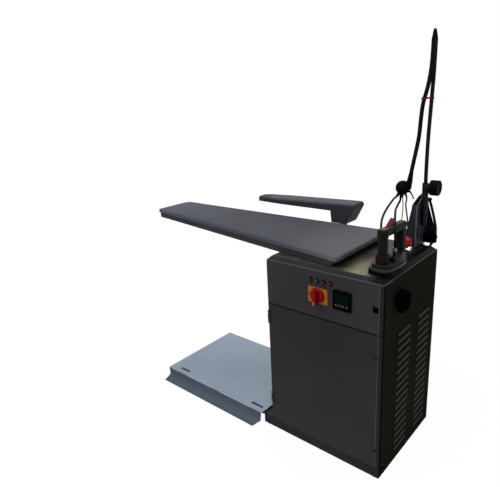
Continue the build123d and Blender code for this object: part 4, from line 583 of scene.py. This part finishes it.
for number, x in enumerate((321, 335, 349, 363), 1):
    slab(f"timer_key_{number}", (x - 4.5, -8.0, 671), (x + 4.5, -6.4, 678), "stand", key_grey,
         0.5)
lock_navy = moulded("lock_navy", (4, 4, 12), 0.6, 0.01)
worked("lock_face", ["panel_lock"], "lock", lock_navy, 0.0005)
wings = worked("side_wings", ["side_knob"], "side_control", black_plastic, 0.0036, 4)
hub, neck_end, fuller = at(500, 104, 700), SIDE + 0.009, 1.14
for vert in wings.data.vertices:
    if vert.co.x > neck_end:
        vert.co.y = hub.y + fuller * (vert.co.y - hub.y)
        vert.co.z = hub.z + fuller * (vert.co.z - hub.z)


# Behind the panels: the boiler on its saddles with its fittings, the steam valve's riser, the
# water tank and pump, the electrical box, and the suction fan under the duct from the board.
cast = paint("motor_cast", (62, 74, 84), (120, 124, 128), roughness=0.55, dirt=0.6).material
brass = metal("brass", (186, 150, 84), 0.34, (1, 1, 6), (96, 74, 40))
tank_plastic = moulded("plastic_pale", (206, 206, 198), 0.5)
aluminium = metal("aluminium", (178, 178, 180), 0.38)
coat(steel, "boiler", "steam_solenoid")
coat(brass, "boiler_fittings")
coat(tank_plastic, "water_tank")
coat(cast, "feed_pump", "fan_motor")
coat(zinc, "fan_housing", "suction_duct")
coat(aluminium, "fan_impeller")
coat(moulded("box_grey", (176, 178, 176), 0.5), "contactor_box")


# The board: a folded steel pan with sloping ends, a pierced plate on bars, and over it a foam pad
# under a grey heat-proof cloth, drawn tight and turned down round the rim with a hem.
def cloth(name, chip, thread, *colour_shifts):
    """Plain weave: two sets of threads, a little uneven, with soft stains and a dull sheen. faded
    holds where the colour changes along X, as (low, high, chip), in millimetres."""
    made = Finish(name, 0.82, Sheen_Weight=0.04, Sheen_Roughness=0.5, Specular_IOR_Level=0.1)
    wobble = made.cloud(90, 2)
    threads = []
    for axis in ("X", "Y"):
        wave = made.add("TexWave", {"Vector": made.place, "Scale": 0.314 / thread, "Distortion": 1.2,
                                    "Detail": 1.0, "Detail Scale": 0.4}, bands_direction=axis)
        threads.append(wave.outputs["Fac"])
    weave = made.times(threads[0], threads[1], "MAXIMUM")
    broad, fine = made.cloud(2.2, 4), made.cloud(16, 6)
    base = made.mix(made.ramp(broad, (0.32, 0.0), (0.70, 1.0)), tint(*chip, 0.86), tint(*chip, 1.12))
    base = made.mix(made.times(made.ramp(fine, (0.48, 0.0), (0.80, 1.0)), 0.28), base, tint(*chip, 0.70))
    base = made.mix(made.times(made.ramp(weave, (0.1, 1.0), (0.7, 0.0)), 0.45), base, tint(*chip, 0.45))
    base = made.mix(made.times(made.ramp(wobble, (0.55, 0.0), (0.7, 1.0)), 0.12), base, tint(*chip, 1.5))
    made.colour(base)
    for low, high, other in colour_shifts:
        part = made.band("X", at(low, 0, 0).x, at(high, 0, 0).x)
        made.stain(made.times(part, made.ramp(fine, (0.2, 0.35), (0.7, 0.75))), other)
    made.gloss(fine, 0.72, 0.90)
    made.raise_by(fine, 0.0012, 0.18)
    made.raise_by(weave, 0.00025, 0.5)
    return made.material


def outline_ring(corners, radii, spacing):
    """Points round a rounded polygon with the outward direction at each, from its corners in order."""
    ring = []
    count = len(corners)
    for i, (corner, radius) in enumerate(zip(corners, radii)):
        back = (Vector(corners[i - 1]) - Vector(corner)).normalized()
        on = (Vector(corners[(i + 1) % count]) - Vector(corner)).normalized()
        half = math.acos(max(-1, min(1, back.dot(on)))) / 2
        middle = Vector(corner) + (back + on).normalized() * radius / math.sin(half)
        start = Vector(corner) + back * radius / math.tan(half) - middle
        end = Vector(corner) + on * radius / math.tan(half) - middle
        steps = max(3, round(radius * (math.pi - 2 * half) / spacing) + 2)
        for k in range(steps + 1):
            way = start.normalized().slerp(end.normalized(), k / steps)
            ring.append((middle + way * radius, way))
    filled = []
    for (place, way), (other, _) in zip(ring, ring[1:] + ring[:1]):
        filled.append((place, way))
        gaps = int((other - place).length / spacing)
        filled += [(place.lerp(other, k / gaps), way) for k in range(1, gaps)] if gaps > 1 else []
    return filled


def upholstered(name, ring, section, spine, tops, base, finish, body):
    """A padded body from rings drawn in from an outline. section holds (inset, share of the height);
    spine is the line in the middle that the top closes on, and base and tops give heights at x."""
    mesh = bmesh.new()
    loops = []

    def height(x, share):
        return base(x) + share * (tops(x) - base(x))

    for inset, share in section:
        loops.append([mesh.verts.new(at(*(p - way * inset), height(p.x, share))) for p, way in ring])
    (x0, y0), (x1, y1) = spine
    dx, dy = x1 - x0, y1 - y0
    inset, share = section[-1]
    for step in (0.12, 0.26, 0.42, 0.58, 0.74, 0.88):
        loop = []
        for p, way in ring:
            edge = p - way * inset
            t = max(0.0, min(1.0, ((p.x - x0) * dx + (p.y - y0) * dy) / (dx ** 2 + dy ** 2)))
            spot = edge.lerp(Vector((x0 + t * dx, y0 + t * dy)), step)
            loop.append(mesh.verts.new(at(spot.x, spot.y, height(spot.x, share))))
        loops.append(loop)
    for low, high in zip(loops, loops[1:]):
        for i in range(len(ring)):
            j = (i + 1) % len(ring)
            mesh.faces.new((low[i], low[j], high[j], high[i]))
    for loop in (loops[0], loops[-1]):
        rim = [mesh.edges.get((one, other)) for one, other in zip(loop, loop[1:] + loop[:1])]
        bmesh.ops.triangle_fill(mesh, edges=rim, use_beauty=True)
    bmesh.ops.remove_doubles(mesh, verts=mesh.verts, dist=0.0004)
    bmesh.ops.recalc_face_normals(mesh, faces=mesh.faces)
    return piece(name, mesh, body, finish, smooth=70, weighted=False)


def drawn_tight(pad, hem, pressure, give):
    """Lets the stuffing push the cloth out: the hem holds, and no point moves further than give."""
    before = [v.co.copy() for v in pad.data.vertices]
    held = pad.vertex_groups.new(name="hem")
    held.add([v.index for v in pad.data.vertices if hem(v.co)], 1.0, "REPLACE")
    sim = pad.modifiers.new("stretch", "CLOTH")
    sim.settings.vertex_group_mass = "hem"
    sim.settings.use_pressure = True
    sim.settings.uniform_pressure_force = pressure
    sim.settings.effector_weights.gravity = 0
    last = 10
    sim.point_cache.frame_start, sim.point_cache.frame_end = 1, last
    for moment in range(1, last + 1):
        bpy.context.scene.frame_set(moment)
    shaped = pad.evaluated_get(bpy.context.evaluated_depsgraph_get()).to_mesh()
    moved = [v.co.copy() for v in shaped.vertices]
    pad.modifiers.remove(sim)
    bpy.context.scene.frame_set(1)
    for vert, old, new in zip(pad.data.vertices, before, moved):
        step = new - old
        if step.length > give:
            step = step.normalized() * give
        vert.co = old + step
    fine = pad.modifiers.new("fine", "SUBSURF")
    fine.levels = fine.render_levels = 1


pan_paint = paint("pan_paint", (54, 54, 59), (92, 92, 94), roughness=0.5, shine=0.04).material
worked("pan_sheet", ["board_pan"], "stand", pan_paint, 0.0012, 3)
coat(zinc, "board_mesh")
# The cover's colour changes along X: paler and bluer towards the tip, paler and warmer at the wide end.
cover_cloth = cloth("cover_cloth", (71, 73, 81), 0.0011, (-500, -860, (88, 93, 108)),
                    (0, 300, (104, 102, 108)))
TIP_X, END_X, COVER_LOW, COVER_TOP, HEM_TOP = -906, 312, 826, 844.6, 0.8305
board_corners = [(TIP_X, 192), (END_X, 12), (END_X, 426), (TIP_X, 407)]
board_ring = outline_ring(board_corners, (12, 12, 12, 38), 9)
hem_section = ((4.4, 0.26), (3.6, 0.04), (2.4, 0.0), (1.0, 0.03), (0.5, 0.14), (1.1, 0.22), (0.5, 0.30),
               (0.1, 0.48), (0.3, 0.68), (1.4, 0.84), (3.4, 0.94), (6.5, 0.985), (11.5, 1.0))
cover = upholstered("cover_sewn", board_ring, hem_section, ((-846, 300), (250, 219)),
                    lambda x: COVER_TOP, lambda x: COVER_LOW, cover_cloth, "stand")
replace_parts(cover, "board_cover", "board_pad")
drawn_tight(cover, lambda co: co.z < HEM_TOP, 1.4, 0.0009)


# The sleeve arm is a folded steel beam on a post, which turns in a socket behind the cabinet. Its
# top carries a thin pad under the same kind of cloth, darker with use at the tip.
arm_paint = paint("arm_paint", (56, 57, 61), (104, 106, 110), roughness=0.5, shine=0.05).material
worked("arm_beam", ["sleeve_arm"], "arm", arm_paint, 0.0010, 2)
worked("arm_socket", ["sleeve_bracket"], "stand", arm_paint, 0.0010, 2)
arm_cloth = cloth("arm_cloth", (84, 86, 93), 0.0010, (-320, -365, (42, 42, 48)))
ARM_TIP, ARM_END, ARM_MID = -420, 136, 488
arm_corners = [(ARM_TIP, ARM_MID - 22), (ARM_TIP + 14, ARM_MID - 36), (ARM_TIP + 150, ARM_MID - 46),
               (ARM_END, ARM_MID - 46), (ARM_END, ARM_MID + 46), (ARM_TIP + 150, ARM_MID + 46),
               (ARM_TIP + 24, ARM_MID + 36), (ARM_TIP, ARM_MID + 18)]
arm_ring = outline_ring(arm_corners, (5, 8, 60, 8, 8, 60, 14, 12), 8)


def arm_slope(x):
    """The height of the beam's top, which rises towards the post."""
    return 903 + 16 * (x + 421) / 557


def on_beam(place):
    """Whether a place of the pad lies on the beam, where it is glued down."""
    return place.z < arm_slope((place.x - cabinet_corner.x) * 1000) / 1000 + 0.003


pad_section = ((3.0, 0.02), (1.0, 0.03), (0.2, 0.12), (0.8, 0.24), (0.2, 0.36), (0.3, 0.60), (1.8, 0.84),
               (5.0, 0.97), (10.0, 1.0))
sleeve = upholstered("sleeve_sewn", arm_ring, pad_section, ((-385, ARM_MID), (100, ARM_MID)),
                     lambda x: arm_slope(x) + 9, arm_slope, arm_cloth, "arm")
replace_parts(sleeve, "sleeve_pad")
drawn_tight(sleeve, on_beam, 1.2, 0.0010)


# The iron stands on a heat-proof mat. It is a cast shell on a sole gone dark with use, with a
# phenolic handle on two posts, a heat dial at the foot of the rear one, and a red thumb lever.
# The grip's top is made paler: a painted highlight.
iron_black = rubber("iron_black", (25, 25, 20), 0.5, 1900, lit_top=(92, 88, 74))
hood_paint = paint("hood_paint", (17, 17, 15), (70, 67, 61), roughness=0.4, dirt=0.6, film=0.12).material
dial_brown = rubber("dial_brown", (29, 19, 15), 0.5, 1900)
knob_brown = rubber("knob_brown", (10, 7, 6), 0.55, 1900, shine=0.02)
shoe = metal("shoe", (54, 54, 53), 0.5, (1, 1, 1), (24, 23, 21))
dark_red = moulded("lever_red", (92, 13, 16), 0.45)
coat(black_rubber, "iron_rest")
worked("sole_shoe", ["iron_sole"], "iron", shoe, 0.0012, 3)
worked("hood_cast", ["iron_hood"], "iron", hood_paint, 0.0030, 3)
worked("handle_grip", ["iron_handle"], "iron", iron_black, 0.0020, 3)
worked("dial_ring", ["iron_dial"], "dial", dial_brown, 0.0012, 3)
worked("trigger_lever", ["iron_trigger"], "trigger", dark_red, 0.0014, 3)


# The boom: a folded gusset on the cabinet top with a socket outside it, a bent steel rod clamped
# by a fluted hand knob, a cap at its tip, and a red strap that gathers the hose to the rod.
bracket_paint = paint("bracket_paint", (43, 44, 52), (112, 114, 122), roughness=0.42)
# Painted shade: the bracket is made near black to the right of x = 444 mm, on its side past the fold.
bracket_paint.stain(bracket_paint.band("X", at(443.5, 0, 0).x, at(444.5, 0, 0).x), (17, 17, 22))
bracket_paint = bracket_paint.material
rod_paint = paint("rod_paint", (17, 17, 14), (44, 44, 42), roughness=0.45, shine=0.08).material
navy_paint = paint("navy_paint", (19, 19, 36), (46, 46, 62), roughness=0.5).material
# Painted highlight: a pale paint for the bead along the bracket's fold.
fold_highlight_paint = paint("fold_highlight_paint", (92, 94, 100), (150, 150, 152), roughness=0.45).material
worked("bracket_sheet", ["boom_bracket"], "stand", bracket_paint, 0.0009, 2)
gusset = bmesh.new()
outline = ((392, 806), (489, 806), (492, 834), (466, 906), (452, 950), (441, 1000), (428, 986), (416, 880))
for y in (471.5, 469):
    gusset.faces.new([gusset.verts.new(at(x, y, z)) for x, z in outline])
bmesh.ops.bridge_loops(gusset, edges=gusset.edges[:])
bmesh.ops.recalc_face_normals(gusset, faces=gusset.faces)
rim = [e for e in gusset.edges if e.calc_face_angle(0) > 1]
bmesh.ops.bevel(gusset, geom=rim, offset=0.0006, segments=2, profile=0.5, affect="EDGES",
                offset_type="OFFSET", clamp_overlap=True)
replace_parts(piece("bracket_gusset", gusset, "stand", navy_paint), "boom_bracket")
slab("line_block", (445, 446, 809), (488, 469, 843), "stand", black_plastic, 3.0, 3)
# A round bead along the bracket's fold, in pale paint: a painted highlight of the light the fold catches.
edge_line = bpy.data.curves.new("bracket_fold", "CURVE")
edge_line.dimensions, edge_line.bevel_depth, edge_line.bevel_resolution = "3D", 0.0021, 4
edge_line.use_fill_caps = True
run = edge_line.splines.new("POLY")
fold_spots = ((375, 806), (375, 968), (380, 974), (421, 994), (440, 1000), (464, 1004.5))
run.points.add(len(fold_spots) - 1)
for point, spot in zip(run.points, fold_spots):
    point.co = (*at(442, *spot), 1)
edge_line.materials.append(fold_highlight_paint)
fold = bpy.data.objects.new("bracket_fold", edge_line)
bpy.context.scene.collection.objects.link(fold)
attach(fold, "stand")
worked("clamp_grip", ["clamp_knob"], "clamp", knob_brown, 0.0030, 4)
worked("boom_bar", ["boom_rod"], "stand", rod_paint, 0, 1, lambda middle, size: size.z > 300)
worked("boom_cap", ["boom_rod"], "stand", black_rubber, 0.0015, 3,
       lambda middle, size: 20 < size.z < 60)
worked("hose_strap", ["boom_rod"], "stand", red_plastic, 0.0005, 2,
       lambda middle, size: size.z < 10)
worked("boot_ball", ["splitter_boot"], "stand", black_rubber, 0.0015, 3, turn=40)


# Hose and cable run from the boom's hose through the boot to the iron, and thin lines from the
# boot to the valve and the cabinet; a feed hose leaves the gusset's back and enters the cabinet.
def line(points, radius, name, finish):
    """A round hose or cable on a smooth curve with the given control points."""
    curve = bpy.data.curves.new(name, "CURVE")
    curve.dimensions = "3D"
    curve.bevel_depth, curve.bevel_resolution, curve.resolution_u = radius / 1000, 5, 10
    curve.use_fill_caps = True
    spline = curve.splines.new("NURBS")
    spline.points.add(len(points) - 1)
    for point, place in zip(spline.points, points):
        point.co = (*at(*place), 1)
    spline.order_u = 3
    spline.use_endpoint_u = True
    curve.materials.append(finish)
    made = bpy.data.objects.new(name, curve)
    bpy.context.scene.collection.objects.link(made)
    return made


BOOT, BOOT_R = Vector((379, 384, 1035)), 27
to_cable, to_hose, to_steam = (-15, -12, -30), (-2, -8, -30), (17, -9, -25)
to_control, to_gusset = (9, -18, -25), (23, 6, -14)
nose_x, nose_y, iron_turn = 462, 240, math.radians(-92.8)


def from_boot(way, out=0):
    """A place in a direction from the boot's middle, so far out of its surface."""
    return tuple(BOOT + Vector(way).normalized() * (BOOT_R + out))


def on_iron(along, side, z):
    """A place along and across the iron, from its nose towards the heel."""
    x = nose_x + along * math.cos(iron_turn) - side * math.sin(iron_turn)
    return (x, nose_y + along * math.sin(iron_turn) + side * math.cos(iron_turn), z)


hose_rubber = rubber("hose_rubber", (13, 12, 12), 0.5, 900)
cable_rubber = rubber("cable_rubber", (38, 25, 21), 0.5, 900)
pale_tube = rubber("pale_tube", (150, 122, 118), 0.5, 900)
hose_points = ((405, 385, 1064), (409, 387, 1100), (418, 392, 1160), (427, 398, 1225), (428, 403, 1290),
               (431, 406, 1345), (445, 407, 1395), (454, 407, 1450), (457, 407, 1505), (457, 407, 1556))
boom_hose = line(hose_points, 7.5, "hose_on_boom", hose_rubber)
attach(boom_hose, "stand")
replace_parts(boom_hose, "boom_hose")

left, right_side = on_iron(128, -24.5, 880), on_iron(128, 24.5, 880)
iron_lines = (
    ("iron_cable", (left, (*left[:2], 910), (420, 124, 941), (402, 167, 966), (390, 228, 986),
                    (377, 290, 995), (366, 338, 1000), from_boot(to_cable, 16), from_boot(to_cable)),
     4.0, cable_rubber, "cable_rubber", 0.345),
    ("iron_hose", (right_side, (*right_side[:2], 906), (476, 116, 936), (463, 141, 961), (442, 186, 978),
                   (417, 242, 979), (396, 296, 975), (384, 336, 979), (380, 364, 988),
                   from_boot(to_hose, 10), from_boot(to_hose)),
     4.0, hose_rubber, "hose_rubber", 0.35),
)
for name, points, radius, finish, slot, length in iron_lines:
    drawn = line(points, radius, name + "_line", finish)
    bare = drawn.data.copy()
    bare.bevel_depth = 0
    bare_object = bpy.data.objects.new("bare", bare)
    run = [v.co.copy() for v in bpy.data.meshes.new_from_object(bare_object).vertices]
    bpy.data.objects.remove(bare_object)
    tube = bpy.data.objects.new(name + "_tube", bpy.data.meshes.new_from_object(drawn))
    bpy.context.scene.collection.objects.link(tube)
    bpy.data.objects.remove(drawn)
    for face in tube.data.polygons:
        face.use_smooth = True
    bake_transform(tube)
    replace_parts(tube, name)

service_lines = (
    ("steam_line", (from_boot(to_steam), from_boot(to_steam, 20), (402, 362, 978), (409, 358, 950),
                    (417, 352, 920), (423, 347, 890), (425, 342, 860), (425, 337, 836), (425, 332, 822),
                    (425, 316, 822)),
     2.8, cable_rubber, "cable_rubber", 0.22, "hanging"),
    ("control_line", (from_boot(to_control), from_boot(to_control, 20), (396, 355, 965), (399, 345, 935),
                      (400, 335, 905), (400, 328, 875), (400, 325, 845), (400, 324, 820), (400, 324, 800)),
     2.0, pale_tube, "cable_rubber", 0.22, "hanging"),
    ("boot_line", (from_boot(to_gusset), from_boot(to_gusset, 12), (421.2, 391, 992)),
     2.5, cable_rubber, "cable_rubber", 0.036, "taut"),
    ("feed_hose", ((443, 459, 982), (456, 459, 981), (462, 464, 960), (468, 469, 932), (474, 475, 900),
                   (479, 481, 868), (479, 486, 838), (473, 488, 812), (461, 487, 790), (453, 486, 766),
                   (452, 476, 752), (452, 460, 752)),
     5.0, hose_rubber, "hose_rubber", 0.27, "hanging"),
)
for name, points, radius, finish, slot, length, lay in service_lines:
    made = line(points, radius, name, finish)
    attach(made, "stand")
    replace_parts(made, "service_lines")


# Where hoses and lines leave the iron, the boot, the gusset and the cabinet they have tapered
# rubber reliefs with ribs. Those on the iron sit in steel ferrules.
def relief(name, spot, way, thick, thin, length, body):
    """A tapered sleeve with ribs, from a place in a direction; sizes in millimetres."""
    rings, ribs = [(-1.5, thin * 0.8), (-1.5, thick)], max(3, round(length / 4.5))
    for rib in range(ribs):
        for share, dip in ((0.12, 0.0), (0.55, 0.0), (0.68, 0.45), (0.92, 0.45)):
            along = (rib + share) / ribs
            rings.append((along * length, thick + (thin - thick) * along - dip))
    rings += [(length, thin), (length, thin * 0.8)]
    rings = [(along / 1000, radius / 1000) for along, radius in rings]
    return turned(name, rings, spot, way, body, black_rubber, sides=28, smooth=35)


ferrule_rings = [(along / 1000, radius / 1000) for along, radius in (
    (0, 5), (0, 7.4), (1, 7.9), (4, 7.9), (5, 7.2), (11, 7.2), (12, 6.7), (12, 5))]
for name, spot in (("cable", left), ("hose", right_side)):
    relief(f"iron_{name}_relief", at(*spot[:2], 884), (0, 0, 1), 6.2, 4.7, 26, "iron")
    turned(f"iron_{name}_ferrule", ferrule_rings, at(*spot[:2], 872.5), (0, 0, 1), "iron", steel,
           sides=28)
relief("boom_hose_relief", at(*hose_points[0]), (4, 2, 36), 10.6, 8.3, 26, "stand")
for name, way, thick, thin, length in (
        ("cable", to_cable, 6.4, 4.7, 16), ("hose", to_hose, 6.4, 4.7, 16),
        ("steam", to_steam, 5.2, 3.4, 14), ("control", to_control, 4.6, 2.7, 14),
        ("third", to_gusset, 5.0, 3.1, 11)):
    relief(f"boot_{name}_relief", at(*from_boot(way)), way, thick, thin, length, "stand")
relief("feed_relief", at(444, 459, 982), (1, 0, 0), 8.0, 5.8, 20, "stand")
relief("feed_inlet_relief", at(452, 462, 752), (0, 1, 0), 8.4, 5.8, 16, "stand")


# The steam valve stands on the riser through the cabinet top: plated brass, with a red lobed handle.
chrome = metal("chrome", (206, 206, 204), 0.16, (1, 1, 1), (120, 116, 108))
valve_red = moulded("valve_red", (176, 16, 20), 0.38)
worked("valve_body", ["steam_valve"], "stand", chrome, 0.0006, 2)
axis_x, axis_y, wheel_r, lobes, lobe = 425, 298, 29.5, 6, 3.2
wheel_section = ((838.4, 0.34), (838.4, 0.80), (840.5, 0.93), (845, 1.0), (855, 1.0), (859.5, 0.94),
                 (861.8, 0.80), (860.8, 0.58), (860.8, 0.44), (864, 0.38), (865.5, 0.30))
wheel, around, loops = bmesh.new(), 72, []
for height, share in wheel_section:
    loops.append([])
    for turn in (2 * math.pi * i / around for i in range(around)):
        reach = share * (wheel_r + (lobe * math.cos(lobes * turn) if share > 0.5 else 0))
        spot = at(axis_x + reach * math.cos(turn), axis_y + reach * math.sin(turn), height)
        loops[-1].append(wheel.verts.new(spot))
for low, high in zip(loops, loops[1:]):
    for i in range(around):
        wheel.faces.new((low[i], low[(i + 1) % around], high[(i + 1) % around], high[i]))
wheel.faces.new(loops[0][::-1])
wheel.faces.new(loops[-1])
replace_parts(piece("valve_wheel", wheel, "valve", valve_red, smooth=50), "valve_lever")
worked("valve_stem", ["valve_lever"], "valve", valve_red, 0.0014, 3)
